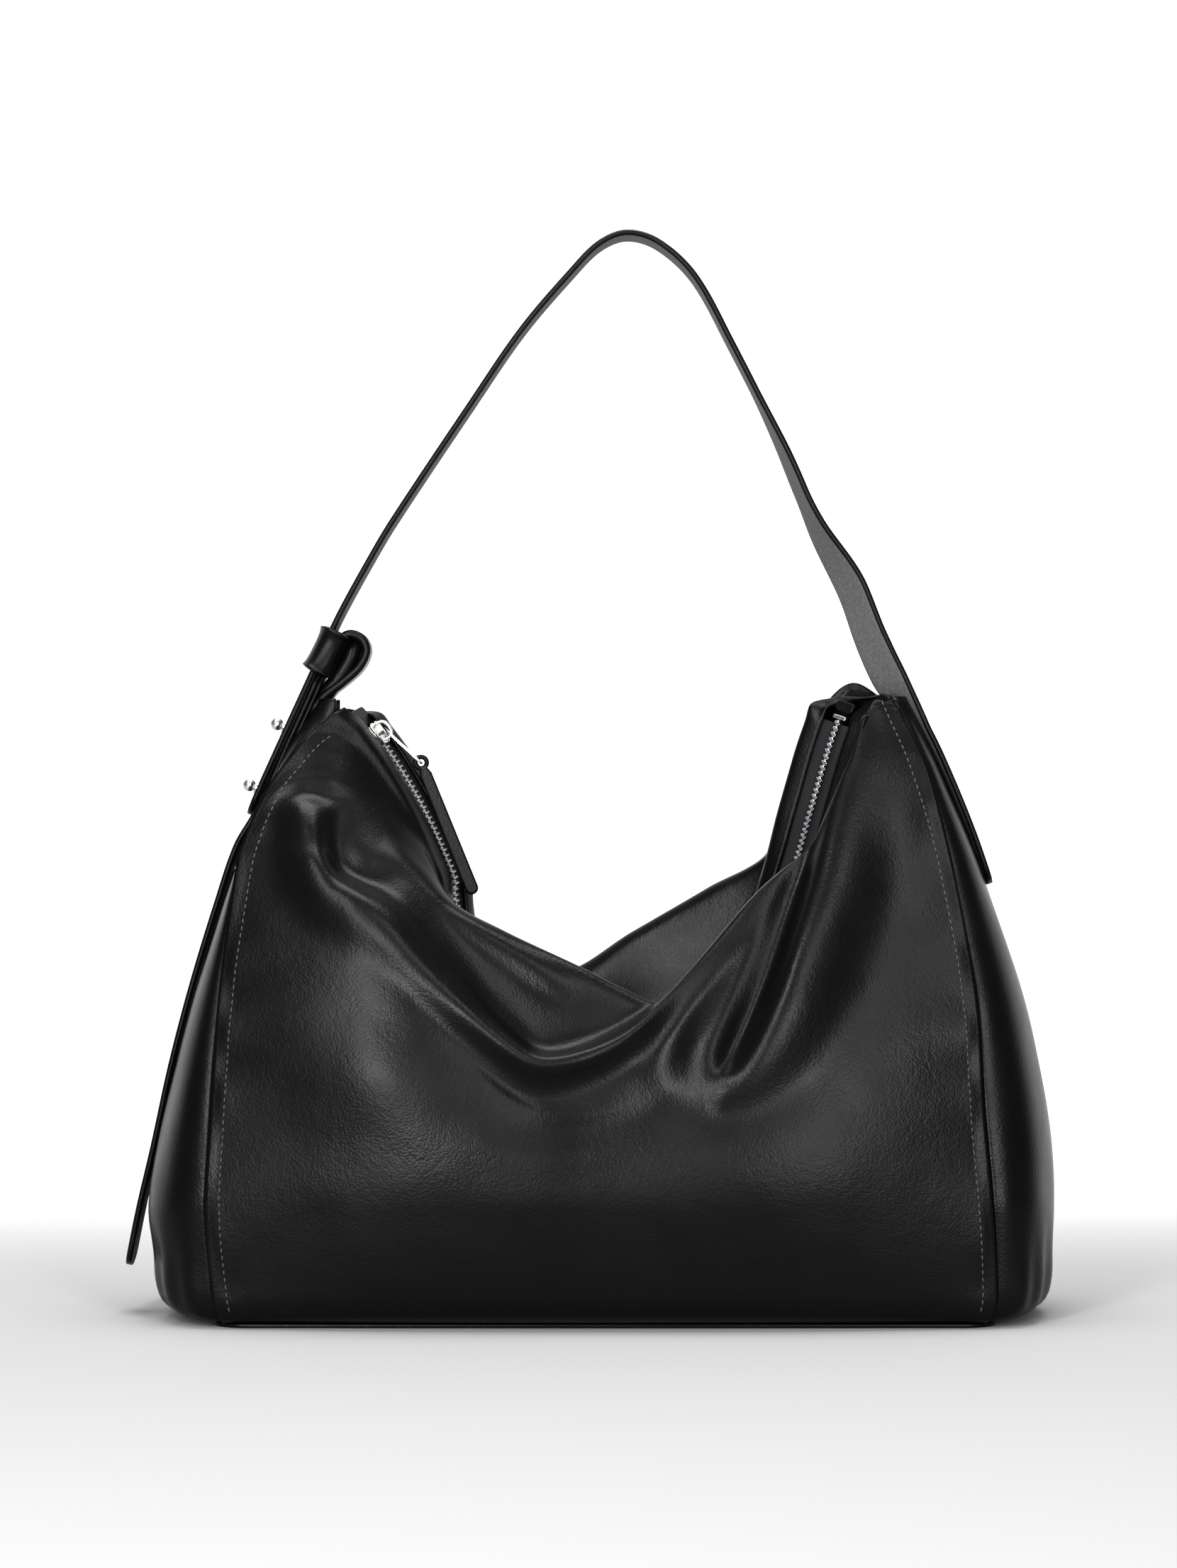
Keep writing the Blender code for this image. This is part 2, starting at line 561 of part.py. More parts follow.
def make_knot(looks, group):
    across = Vector((KNOT_ALONG.z, 0, -KNOT_ALONG.x))
    outer = rounded(0.0160, 0.0080, 0.0065)
    inner = rounded(0.0138, 0.0058, 0.0045)
    where = frame_at(KNOT + 0.0022 * across, Vector((0, 1, 0)), across)
    plate("knot_keeper", outer, 0.0085, looks["leather"], group, where, (inner,))
    loop = ((-0.1268, 0.3040), (-0.1225, 0.3125), (-0.1170, 0.3160), (-0.1115, 0.3140),
            (-0.1093, 0.3085), (-0.1125, 0.3010), (-0.1200, 0.2940), (-0.1290, 0.2870),
            (-0.1375, 0.2765))
    points = along([(x, 0, z) for x, z in loop], 20)
    band("knot_loop", points, BAND_THICKNESS, (-0.010, 0.010), looks["leather"], group)


def make_studs(looks, group):
    ball = [(0.0, 0.0075)]
    for i in range(1, 6):
        angle = pi / 2 - i * 0.5
        ball.append((0.0030 * cos(angle), 0.0045 + 0.0030 * sin(angle)))
    ball += [(0.0013, 0.0017), (0.0030, 0.0011), (0.0032, 0.0004), (0.0, 0.0004)]
    washer = [(0.0, 0.0007), (0.0040, 0.0007), (0.0045, 0.0003), (0.0045, -0.0007), (0.0, -0.0007)]
    for name, (x, z) in zip(("upper", "lower"), STUDS):
        place = Vector((x, 0, z))
        outside = place + (STRAP_THICKNESS / 2) * OUT_OF_STRAP
        inside = place - 0.0088 * OUT_OF_STRAP
        side = Vector((0, 1, 0))
        turned("stud_" + name, ball, looks["metal"], group,
               frame_at(outside, side, OUT_OF_STRAP.cross(side)))
        turned("stud_washer_" + name, washer, looks["metal"], group,
               frame_at(inside, side, OUT_OF_STRAP.cross(side)))


def main():
    clear_scene()
    group = collection("hobo_bag")
    looks = {
        "leather": material("black_leather", (0.012, 0.012, 0.013), 0.38),
        "lining": material("black_lining", (0.02, 0.02, 0.022), 0.8),
        "board": material("board", (0.05, 0.045, 0.04), 0.85),
        "tape": material("zip_tape", (0.01, 0.01, 0.01), 0.85),
        "metal": material("nickel", (0.62, 0.62, 0.60), 0.25, 1.0),
    }
    make_panels(looks, group)
    make_gussets(looks, group)
    make_base(looks, group)
    make_zip(looks, group)
    make_slider(looks, group)
    make_strap(looks, group)
    make_knot(looks, group)
    make_studs(looks, group)


main()
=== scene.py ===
"""The looks of a slouchy black leather hobo bag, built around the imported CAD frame.

Metres, +Z up, the front faces -Y; the long tables of points are in millimetres. The leather
panels are lofted through rails, each a smooth curve from the left seam to the right seam, and
then sculpted: every fold is a stroke, a line on the panel with a height and a width on each side.
"""

from math import cos, pi, radians, sin

import bpy
import numpy as np
from mathutils import Matrix, Vector, noise


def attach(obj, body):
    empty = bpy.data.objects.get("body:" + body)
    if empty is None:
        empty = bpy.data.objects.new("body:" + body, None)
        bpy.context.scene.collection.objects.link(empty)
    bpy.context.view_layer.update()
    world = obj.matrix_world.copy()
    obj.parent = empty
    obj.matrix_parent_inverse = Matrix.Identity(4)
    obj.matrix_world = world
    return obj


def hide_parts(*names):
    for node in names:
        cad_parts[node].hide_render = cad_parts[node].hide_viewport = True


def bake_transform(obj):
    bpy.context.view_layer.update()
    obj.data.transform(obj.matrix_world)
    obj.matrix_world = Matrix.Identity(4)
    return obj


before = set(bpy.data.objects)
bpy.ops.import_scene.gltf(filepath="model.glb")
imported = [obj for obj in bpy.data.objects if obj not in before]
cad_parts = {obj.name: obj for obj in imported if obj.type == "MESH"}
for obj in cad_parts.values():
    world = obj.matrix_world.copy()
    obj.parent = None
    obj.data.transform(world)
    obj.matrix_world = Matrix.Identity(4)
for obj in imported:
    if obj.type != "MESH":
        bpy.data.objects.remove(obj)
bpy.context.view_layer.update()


def metres(table):
    """A table in millimetres, as nested tuples of metres."""
    return tuple(metres(item) for item in table) if isinstance(table, tuple) else table / 1000


# Sizes
PANEL_LEATHER = 0.0013
STRAP_WIDTH = 0.024
STRAP_THICKNESS = 0.0028
BAND_THICKNESS = 0.0018
TAPE_THICKNESS = 0.0006
CLOTH_THICKNESS = 0.0006
STITCH_PITCH = 0.0034
STITCH_LENGTH = 0.72 * STITCH_PITCH
STITCH_THREAD = 0.00042
TOOTH_PITCH = 0.00275

# The zip: the slider's arc, then the valley behind the slumped front, up to the right tip
ZIP_CENTRE = (-0.314, 0, 0.114)
ZIP_RADIUS = 0.260
ZIP_ANGLES = (38.4, 34, 30, 26, 22, 19.5)
ZIP_VALLEY = metres((
    (-69, 0, 195), (-65.5, 0, 172), (-61.5, 0, 152), (-54.5, 0, 135), (-43, 0, 122),
    (-24, 0, 114.5), (0, 0, 112.5), (24, 0, 114), (44, 0, 124.5), (62, 0, 149), (77.5, 0, 176.5),
    (90, 0, 206), (98, 0, 233), (106, 0, 261), (112.5, 0, 280),
))
# How far the zip's face is rolled towards the front, in degrees, along its length
ZIP_ROLL = ((0, 22), (0.2, 22), (0.38, 12), (0.60, 14), (0.76, 42), (0.88, 60), (1, 60))
TAPE_OFF_PANEL = 0.0012
# The last rails of each panel follow the zip at this distance from its middle, between these
# points at the left tip and the right tip
ZIP_RAILS = metres((
    (16, (-123.5, 17.5, 279.5), (133.5, 15.8, 287.2)),
    (7, (-119, 14, 282), (130, 14, 288.5)),
))
# One tooth: its outline as (along the zip, across it), and the (height, size) of each layer
TOOTH_SHAPE = metres((
    (-0.7, 4.1), (-0.66, 0.9), (-0.86, 0.3), (-0.55, -0.7),
    (0.55, -0.7), (0.86, 0.3), (0.66, 0.9), (0.7, 4.1),
))
TOOTH_LAYERS = ((-0.0012, 0.72), (-0.0009, 1.0), (0.0009, 1.0), (0.0012, 0.72))
TOOTH_ROOT = 0.0012
# The slider's place on the arc, the bridge on it, and the pull and its tab hanging from it
SLIDER_AT = 36.6
SLIDER_ROLL = 22
BRIDGE_FOOT = 0.0028
BRIDGE_RISE = 0.0048
PULL_PIVOT_LIFT = 0.0053
PULL_PIVOT_DOWN = 0.0005
PULL_ANGLE = -43.0
PULL_LENGTH = 0.0226
TAB_ANGLE = -68.0
TAB_LENGTH = 0.0662

# Front panel rails from the left seam to the right seam, from the turned-under bottom upwards
FRONT_RAILS = metres((
    ((-169, -47, 1.7), (0, -47, 1.7), (172, -47, 1.7)),
    ((-171.5, -53.5, 2), (0, -54.5, 1.9), (174.5, -53.5, 2)),
    ((-173.8, -57.3, 6.2), (-100, -61.2, 5.2), (0, -62.2, 5), (100, -61.2, 5.2),
     (176.8, -57.3, 6.2)),
    ((-175.8, -59, 15), (-100, -66.8, 14.5), (0, -68.5, 14), (100, -66.8, 14.5), (178.5, -59, 15)),
    ((-179, -60, 55), (-90, -73.5, 55), (0, -75.5, 55), (90, -73.5, 55), (176.5, -60, 55)),
    ((-177.2, -57.5, 92), (-90, -74, 84), (-10, -75.2, 74), (90, -73, 86), (173, -57.5, 97)),
    ((-175.7, -55, 122), (-105, -72, 116), (-60, -73.5, 100), (-20, -73, 90), (50, -70, 104),
     (110, -62.5, 136), (170, -53, 150)),
    ((-173.5, -51.5, 155), (-130, -63, 150), (-95, -69, 140), (-55, -71.5, 114), (-28, -71, 99),
     (5, -69, 102), (45, -63, 128), (100, -53, 176), (159, -39, 216)),
    ((-169, -45, 193), (-134, -56, 186), (-115, -62, 178), (-99, -65.5, 164), (-82, -68, 146.5),
     (-63, -69.5, 129), (-44.5, -70, 113.5), (-29.1, -69.5, 105), (-10, -68.5, 108),
     (9, -65.5, 116), (27, -60.5, 130), (51, -51.5, 155), (78, -44.5, 185), (107, -37.5, 218),
     (120, -32, 238), (149, -29, 256)),
    ((-166.2, -40.5, 213), (-134, -50, 210), (-121.2, -54.5, 200), (-112.7, -57.5, 195),
     (-97, -62, 181.5), (-80.4, -65.5, 163.6), (-61.9, -68.5, 145.5), (-43.7, -70.5, 129.6),
     (-29.1, -71, 120.5), (-11, -69.5, 122.2), (7.2, -66, 129.5), (23.8, -60, 143.2),
     (48.4, -49, 169), (74, -40.5, 198.5), (102.9, -33, 226.2), (114.2, -25.5, 254),
     (124, -19, 281), (140, -19, 276)),
    ((-164, -38, 220), (-132, -45.5, 218), (-118.5, -48, 209), (-109.5, -50, 204),
     (-92.5, -53, 191.5), (-76, -55.5, 173.5), (-58, -58.5, 154.5), (-41, -61.5, 137.5),
     (-27.5, -63, 127), (-10, -62.5, 127.5), (8.2, -60, 133.8), (24.6, -55.5, 146.5),
     (49, -46.5, 171.2), (74.5, -38.5, 200), (103.3, -31.5, 226.8), (115, -24, 255),
     (124.5, -18, 282.5), (139, -17.5, 279)),
    ((-160, -34.5, 231), (-130, -41, 228), (-112, -43, 216), (-88.5, -46.5, 199), (-70, -49.8, 181),
     (-52, -52.5, 164.5), (-33, -54.5, 150), (-16, -56, 140), (2, -56, 137.5), (19, -54, 143.5),
     (28, -51.5, 148.5), (50, -43, 171.8), (75.3, -35.5, 200.6), (104, -29, 227.2),
     (115.8, -22.5, 256), (125, -17, 284), (138, -16.8, 281)),
    ((-153, -30, 246), (-126, -34, 239), (-106, -36, 223), (-83.5, -41, 202), (-67, -45.8, 188),
     (-47, -49, 174.5), (-24, -51.5, 161), (-1, -52.5, 151.5), (17, -51.2, 147.8),
     (29.2, -47.5, 148.2), (50.8, -40, 171.5), (76, -32.5, 200.3), (104.6, -26.5, 227),
     (116.4, -20.5, 256), (125.5, -16.3, 284.8), (137.2, -16.4, 282)),
    ((-145, -26.2, 257), (-122, -28, 249), (-103, -28.5, 232), (-81.5, -32, 208.5),
     (-66.8, -39.5, 191.5), (-43.3, -44, 178.8), (-10.9, -47.5, 163.9), (12, -48, 152.5),
     (29.6, -45.5, 147), (51.2, -38, 170), (76.5, -30.5, 199), (105, -24.5, 225.8),
     (116.8, -19, 255.5), (125.8, -15.8, 285), (136.6, -16.1, 282.8)),
    ((-137, -22.5, 267), (-117, -22.5, 258), (-100, -21.5, 239), (-80.5, -23.5, 213),
     (-66.5, -33, 189.5), (-43.3, -37.5, 176.5), (-10.9, -41.2, 161), (12, -42, 149.5),
     (29.6, -40.5, 143.5), (51.2, -35, 166.5), (77, -28, 195), (105.5, -22.2, 223),
     (117.2, -17.5, 254.5), (126.2, -15, 285), (136, -15.8, 283.6)),
    ((-130, -19.2, 273.5), (-114, -18.5, 264), (-98, -18, 244), (-81, -18.5, 217),
     (-68.5, -21.5, 181), (-50, -25, 150), (-12, -28, 136), (22, -29, 130), (54, -26, 148),
     (85, -21.5, 181), (109, -17.5, 216), (118.5, -14.5, 252), (126.6, -13.5, 285),
     (135.2, -15.6, 285)),
))
# Rows from each rail to the next
FRONT_STEPS = (3, 4, 6, 22, 20, 16, 18, 16, 10, 8, 9, 9, 8, 6, 10, 8, 6)
FRONT_LIP_RAIL = 13
# The back panel's lowest rails mirror the front panel's
BACK_RAILS = tuple(tuple((x, -y, z) for x, y, z in rail) for rail in FRONT_RAILS[:5]) + metres((
    ((-177.2, 57.5, 92), (-90, 73.5, 90), (-10, 72.5, 85), (90, 72.5, 92), (173, 57.5, 97)),
    ((-175.7, 55, 122), (-90, 70, 120), (-20, 68, 105), (50, 67, 125), (110, 61, 145),
     (170, 53, 150)),
    ((-171.5, 48.5, 175), (-120, 58, 165), (-70, 63, 145), (-20, 64, 128), (40, 61, 155),
     (100, 53, 188), (159, 39, 216)),
    ((-160, 35, 231), (-125, 43, 212), (-85, 53, 176), (-50, 57, 155), (-20, 58, 146),
     (12, 55, 163), (50, 49, 186), (80, 42, 204), (100, 35, 232), (114.5, 25, 262),
     (143, 21.5, 272)),
    ((-151, 29, 248), (-120, 35, 233), (-83, 45, 190), (-50, 49, 164), (-20, 51, 153),
     (14, 49, 171.5), (51, 44, 193.5), (80.5, 38, 211.5), (94, 31, 243.5), (106, 23, 272.5),
     (140, 18.5, 278)),
    ((-142, 24.5, 261), (-118, 28, 248), (-83, 37, 196), (-50, 42, 167), (-20, 44, 156),
     (15.5, 43, 176.8), (51.3, 39, 197.4), (80.7, 33, 214.9), (91.5, 26.5, 248.5),
     (101.2, 19.5, 276.5), (118, 16, 293.5), (137.5, 17, 282)),
    ((-135, 21.5, 269), (-115, 22.5, 256), (-83, 30, 196), (-50, 36, 163), (-18, 38, 152),
     (16.5, 37, 173), (52, 33.5, 194), (80, 28.5, 214), (91, 22, 249), (100.5, 16.5, 276.5),
     (117.5, 14, 294), (136, 16.2, 283.8)),
    ((-130, 19.5, 273.5), (-113, 19, 262), (-85, 23, 205), (-54, 28, 152), (-10, 30, 133),
     (22, 30, 135), (50, 27.5, 152), (74, 24, 186), (88, 19, 229), (99, 15, 264), (115, 13, 290),
     (135.2, 15.8, 285)),
))
BACK_STEPS = (3, 4, 6, 20, 18, 16, 16, 16, 10, 8, 6, 12, 8, 6)
BACK_LIP_RAIL = 10

# Folds of the front panel: points (x, z, height, width on the left, width on the right), the
# sides as the line runs
FRONT_FOLDS = metres((
    # the broad ridge that hangs from the right tip, steep on its left side, and its round end
    ((121, 270, 0, 30, 10), (114, 248, 2.6, 32, 11), (107.2, 223, 5.6, 34, 11),
     (100, 198, 7.6, 36, 11.5), (91.5, 174.8, 8.6, 36, 11.5), (81.5, 148.2, 8.4, 34, 11.5),
     (71.5, 127, 7, 28, 11), (62, 114, 5, 20, 10), (54.5, 108, 2.6, 14, 10), (47, 105, 0, 10, 8)),
    # the dark valley beside it
    ((99, 226, 0, 6, 8), (89.5, 200, -2, 7, 10), (80, 172, -2.8, 7, 11), (70, 148, -2.8, 7, 11),
     (62, 132, -2.2, 7, 9), (56.5, 123, -1, 6, 7), (54, 117, 0, 5, 5)),
    # the soft ridge beyond the valley, running into the same round end
    ((80, 205, 0, 12, 16), (69, 179, 2, 14, 20), (59, 156, 3.2, 14, 24), (51.5, 137, 3.6, 13, 26),
     (48, 124, 3.4, 11, 26), (49.2, 115, 2.6, 10, 22), (54.5, 109, 1.4, 9, 16),
     (61, 106, 0, 8, 12)),
    # the slack beneath the mouth's lowest point
    ((40, 156, 0, 12, 10), (33, 138, -1, 14, 14), (30, 120, -1, 14, 16), (32, 102, 0, 14, 14)),
    # the undercut beneath the lowest part of the long roll
    ((-78, 158, 0, 7, 24), (-57, 133, -1.2, 7, 30), (-40, 118, -2.2, 7, 34),
     (-26.2, 112.5, -2.7, 7, 36), (-6, 115, -2.3, 7, 34), (12, 124.5, -1.3, 7, 28),
     (26, 137, 0, 7, 20)),
    # the long roll from the hook below the left tip to the mouth's lowest point
    ((-144, 247, 0, 9, 12), (-137, 237, 3, 10, 16), (-132.5, 224, 4.6, 10, 20),
     (-130, 211, 5.2, 10, 22), (-123.5, 200, 5.4, 10, 22), (-113, 193.5, 4.6, 11, 22),
     (-97.6, 184.6, 3.4, 13, 22), (-80, 169, 2, 14, 20), (-69, 155, 1.8, 14, 16),
     (-55.8, 140, 2, 11, 12), (-40.4, 126.8, 2.6, 8, 8), (-27.2, 120.8, 3, 7, 7),
     (-9.6, 123.2, 2.8, 7, 7), (8, 132.2, 1.6, 7, 7), (24, 144, 0, 7, 7)),
    # the hollow inside the hook, along the roll's upper side
    ((-115, 243, 0, 10, 8), (-120.5, 229, -2.6, 13, 9), (-119.5, 216, -3.4, 13, 9),
     (-112, 207, -3.4, 12, 9), (-102, 203, -2.6, 11, 9), (-90, 199.5, 0, 10, 8)),
    # the hill that meets the mouth's edge
    ((-101, 219, 0, 9, 8), (-90, 214, 2.6, 9, 10), (-81, 207, 3, 8, 10), (-74.5, 197, 1.2, 8, 8)),
    # the flap below the left tip: its rolled edge and the crease under it
    ((-159, 234, 0, 6, 4), (-148, 244, 1.8, 9, 4), (-134.6, 249, 2.8, 12, 4),
     (-121.1, 248, 3.2, 14, 4), (-111.5, 250, 3.4, 14, 4), (-107, 256, 3, 14, 4),
     (-109, 265, 1.6, 12, 4), (-113, 274, 0, 8, 4)),
    ((-149, 237, 0, 3, 5), (-134.6, 243.2, -2.2, 3, 7), (-121.1, 243.1, -3, 4, 8),
     (-108.5, 244.8, -3, 4, 9), (-102, 251.5, -2.2, 4, 9), (-103, 262, 0, 4, 8)),
    # the soft swelling above the roll, towards the mouth
    ((-70, 192, 0, 8, 10), (-58, 183, 1.6, 8, 10), (-40, 172, 1.8, 8, 10), (-22.9, 160, 1.4, 8, 10),
     (-8, 151, 0, 8, 8)),
))
BACK_FOLDS = metres((
    ((108, 250, 0, 8, 22), (90, 205, 5, 9, 24), (70, 165, 6.2, 9, 24), (45, 135, 4.6, 9, 20),
     (20, 118, 0, 9, 14)),
    ((-125, 235, 0, 20, 8), (-105, 195, 4.6, 22, 9), (-75, 160, 5.4, 22, 9), (-45, 135, 4, 20, 9),
     (-15, 120, 0, 14, 9)),
    ((75, 205, 0, 11, 11), (50, 170, -3.6, 11, 11), (20, 145, -4, 11, 11), (-20, 138, -3.6, 11, 11),
     (-60, 165, -3, 11, 11), (-95, 205, 0, 11, 11)),
))
# Gusset outline at mid depth, as (distance from the middle, height), from the base to the tip
GUSSET_LEFT = metres((
    (180, 1.6), (192.5, 2), (204, 7.5), (207.2, 18), (208, 30), (210.3, 50), (205.8, 79.5),
    (197.1, 116.5), (186.4, 155), (173.3, 195), (162.6, 223), (155.2, 241.9), (142.5, 270.4),
    (133, 286),
))
GUSSET_RIGHT = metres((
    (182, 1.6), (194.5, 2), (205.5, 7.5), (208.5, 18), (209.2, 30), (210, 60), (208.5, 85),
    (203, 116.5), (194, 155), (184.2, 185), (171.6, 220), (160, 247), (150, 270), (142.5, 287),
))
# Side seams as (distance from the middle, half depth, height), from the base to the tip. Their
# lower parts are the ends of the front panel's rails
SEAM_LEFT = tuple((-x, -y, z) for (x, y, z), *_ in FRONT_RAILS[:10]) + metres((
    (160, 34.7, 231), (153, 30, 246), (145, 26.2, 257), (137, 22.5, 267), (130, 19.2, 273.5),
    (123.5, 17, 279.5),
))
SEAM_RIGHT = tuple((x, -y, z) for *_, (x, y, z) in FRONT_RAILS[:10]) + metres((
    (137.2, 16.4, 282), (133.5, 15.8, 287.2),
))
# Strap centre line in the plane y = 0, from below the lower stud over the top to the right side
STRAP_LINE = metres((
    (-163.8, 232.2), (-159, 243.5), (-146.1, 272), (-136.5, 293), (-129, 309.5), (-121, 326.2),
    (-108.5, 349), (-97.6, 367.5), (-61, 422.5), (-37, 457.5), (-14, 484.5), (-1, 497.5),
    (11.6, 502.5), (26, 498.5), (43, 483), (60, 452.5), (83, 406.5), (100.5, 366.5), (116.3, 339),
    (126.2, 313.5), (136, 293), (149.2, 273.5), (160.8, 250), (172.8, 222.5), (181, 200),
))
# How far the strap is twisted about its line, in degrees, along its length
STRAP_TWIST = ((0, 0), (0.62, 0), (0.70, -8), (0.78, -30), (0.84, -36), (0.89, -8), (1, 0))
# The centre lines of the tail, the side band and the knot's loop, likewise in the plane y = 0
TAIL_LINE = metres((
    (-220, 22.5), (-214.5, 50), (-208, 78), (-199.5, 117), (-189.5, 155), (-178.5, 191),
    (-169.5, 217.5), (-161.2, 231.8), (-154.5, 245.5),
))
SIDE_BAND_LINE = metres((
    (-184.6, 160), (-172, 200), (-161.4, 224), (-153, 242.5), (-143.2, 265), (-135, 283),
    (-128.5, 298),
))
LOOP_LINE = metres((
    (-126.8, 304), (-122.5, 312.5), (-117, 316), (-111.5, 314), (-109.3, 308.5), (-112.5, 301),
    (-120, 294), (-129, 287), (-137.5, 276.5),
))
LOOP_FOLD_LINE = metres((
    (-133, 283), (-127, 290), (-121.5, 297), (-117.2, 304.5), (-115, 310.5), (-114.2, 314.5),
))
KEEPER = (-0.1292, 0, 0.3085)
KEEPER_ALONG = (0.437, 0, 0.899)
KEEPER_HALF_SIZES = (0.0158, 0.0078, 0.0098)
STUDS = ((-0.1461, 0.2720), (-0.1590, 0.2435))
OUT_OF_STRAP = (-0.911, 0, 0.412)
# The folded layer between the side band and the strap
BAND_FOLD_OFF = 0.0023
BAND_FOLD_THICKNESS = 0.0026

# Soft unevenness of the panels: height, size of its lumps, seed, rows it comes in over
UNEVENNESS = ((0.0005, 0.055, 3.1, 40), (0.00008, 0.013, 8.4, 20))
# The seams' pucker: height, wave, the wave's drift, and how many columns it reaches
SEAM_PUCKER, PUCKER_WAVE, PUCKER_DRIFT, PUCKER_REACH = 0.00075, 0.0066, 0.021, 9.0
# The gussets' pucker at the bottom corners: height, middle, spread, and waves across the gusset
GUSSET_PUCKER, CORNER_HEIGHT, CORNER_SPREAD, CORNER_WAVES = 0.0011, 0.016, 0.020, 7.3
NORMAL_BLUR = 12
FOLD_BLUR = 13

Y = np.array((0, 1.0, 0))


def unit(vectors):
    """The vectors at length 1."""
    vectors = np.asarray(vectors, float)
    return vectors / np.maximum(np.linalg.norm(vectors, axis=-1, keepdims=True), 1e-12)


def knots_of(points):
    """How far along the straight runs between them each point is."""
    return np.concatenate(([0], np.cumsum(np.linalg.norm(np.diff(points, axis=0), axis=1))))


def curve_at(points, places):
    """The points at these distances along a smooth curve through the points."""
    points = np.asarray(points, float)
    knots = knots_of(points)
    low = np.maximum(np.arange(len(points)) - 1, 0)
    high = np.minimum(np.arange(len(points)) + 1, len(points) - 1)
    slopes = (points[high] - points[low]) / (knots[high] - knots[low])[:, None]
    i = np.clip(np.searchsorted(knots, places, side="right") - 1, 0, len(points) - 2)
    span = (knots[i + 1] - knots[i])[:, None]
    t = (np.asarray(places) - knots[i])[:, None] / span
    return (
        (2 * t**3 - 3 * t**2 + 1) * points[i]
        + (t**3 - 2 * t**2 + t) * span * slopes[i]
        + (3 * t**2 - 2 * t**3) * points[i + 1]
        + (t**3 - t**2) * span * slopes[i + 1]
    )


def along(points, count):
    """Points spread evenly on a smooth curve through the points."""
    points = np.asarray(points, float)
    return curve_at(points, np.linspace(0, knots_of(points)[-1], count))


def in_plane(points):
    """(x, z) points as points of the plane y = 0."""
    return np.array([(x, 0, z) for x, z in points])


def ramp(stops, places):
    """Smooth values between stops of (place, value)."""
    stops = np.array(stops, float)
    i = np.clip(np.searchsorted(stops[:, 0], places, side="right") - 1, 0, len(stops) - 2)
    t = (places - stops[i, 0]) / (stops[i + 1, 0] - stops[i, 0])
    t = np.clip(t, 0, 1)
    return stops[i, 1] + (stops[i + 1, 1] - stops[i, 1]) * t * t * (3 - 2 * t)


def smoothstep(low, high, value):
    """0 below low, 1 above high, and a smooth rise between them."""
    t = np.clip((value - low) / (high - low), 0, 1)
    return t * t * (3 - 2 * t)


def runs_of(line):
    """The direction of a line at each of its points."""
    return unit(np.gradient(line, axis=0))


def normals_of(line):
    """The directions square to a line in the plane y = 0, on its left as it runs."""
    run = runs_of(line)
    return unit(np.stack((-run[:, 2], 0 * run[:, 0], run[:, 0]), axis=1))


def zip_frame(count):
    """The zip's line, the direction across it towards the front and the normal of its face."""
    angles = np.radians(ZIP_ANGLES)
    arc = ZIP_CENTRE + ZIP_RADIUS * np.stack((np.cos(angles), 0 * angles, np.sin(angles)), 1)
    line = along(np.concatenate((arc, np.array(ZIP_VALLEY, float))), count)
    roll = np.radians(ramp(ZIP_ROLL, np.linspace(0, 1, count)))[:, None]
    out = normals_of(line)
    across = -Y * np.cos(roll) - out * np.sin(roll)
    return line, across, out * np.cos(roll) - Y * np.sin(roll)


def grid_of(rails, columns, steps):
    """A grid of points, row by row, on the smooth surface through the rails.

    steps says how many rows there are from each rail to the next.
    """
    lines = np.array([along(rail, columns) for rail in rails])
    rail_rows = np.cumsum((0, *steps))
    rows = np.arange(rail_rows[-1] + 1)
    grid = np.empty((len(rows), columns, 3))
    for i in range(columns):
        places = np.interp(rows, rail_rows, knots_of(lines[:, i]))
        grid[:, i] = curve_at(lines[:, i], places)
    return grid


def grid_normals(grid):
    """The side that a panel's outside faces, at each point of its grid."""
    return unit(np.cross(np.gradient(grid, axis=1), np.gradient(grid, axis=0)))


def blurred(grid, passes):
    """The grid with each point drawn towards its neighbours. Its edges stay in place."""
    grid = grid.copy()
    for _ in range(passes):
        inner = grid[1:-1, 1:-1]
        around = grid[:-2, 1:-1] + grid[2:, 1:-1] + grid[1:-1, :-2] + grid[1:-1, 2:]
        grid[1:-1, 1:-1] = 0.5 * inner + 0.125 * around
    return grid


def stroke(grid, points):
    """How far a fold lifts each point of a panel. The fold's section is a bell on each side."""
    line = along(points, 110)
    flat = grid[..., (0, 2)].reshape(-1, 2)
    gaps = flat[:, None, :] - line[None, :, :2]
    distance = np.linalg.norm(gaps, axis=2)
    nearest = distance.argmin(axis=1)
    run = runs_of(line[:, :2])[nearest]
    rows = np.arange(len(flat))
    off = gaps[rows, nearest]
    side = run[:, 0] * off[:, 1] - run[:, 1] * off[:, 0]
    width = np.where(side > 0, line[nearest, 3], line[nearest, 4])
    share = np.clip(distance[rows, nearest] / width, 0, 1)
    lift = line[nearest, 2] * 0.5 * (1 + np.cos(pi * share))
    return lift.reshape(grid.shape[:2])


def roughness_at(grid, size, seed, stretch=(1, 1, 1)):
    """Soft noise between about -1 and 1, with lumps of this size."""
    found = np.empty(grid.shape[:2])
    for place in np.ndindex(found.shape):
        x, y, z = grid[place] / size
        found[place] = noise.noise((x * stretch[0] + seed, y * stretch[1], z * stretch[2]))
    return found


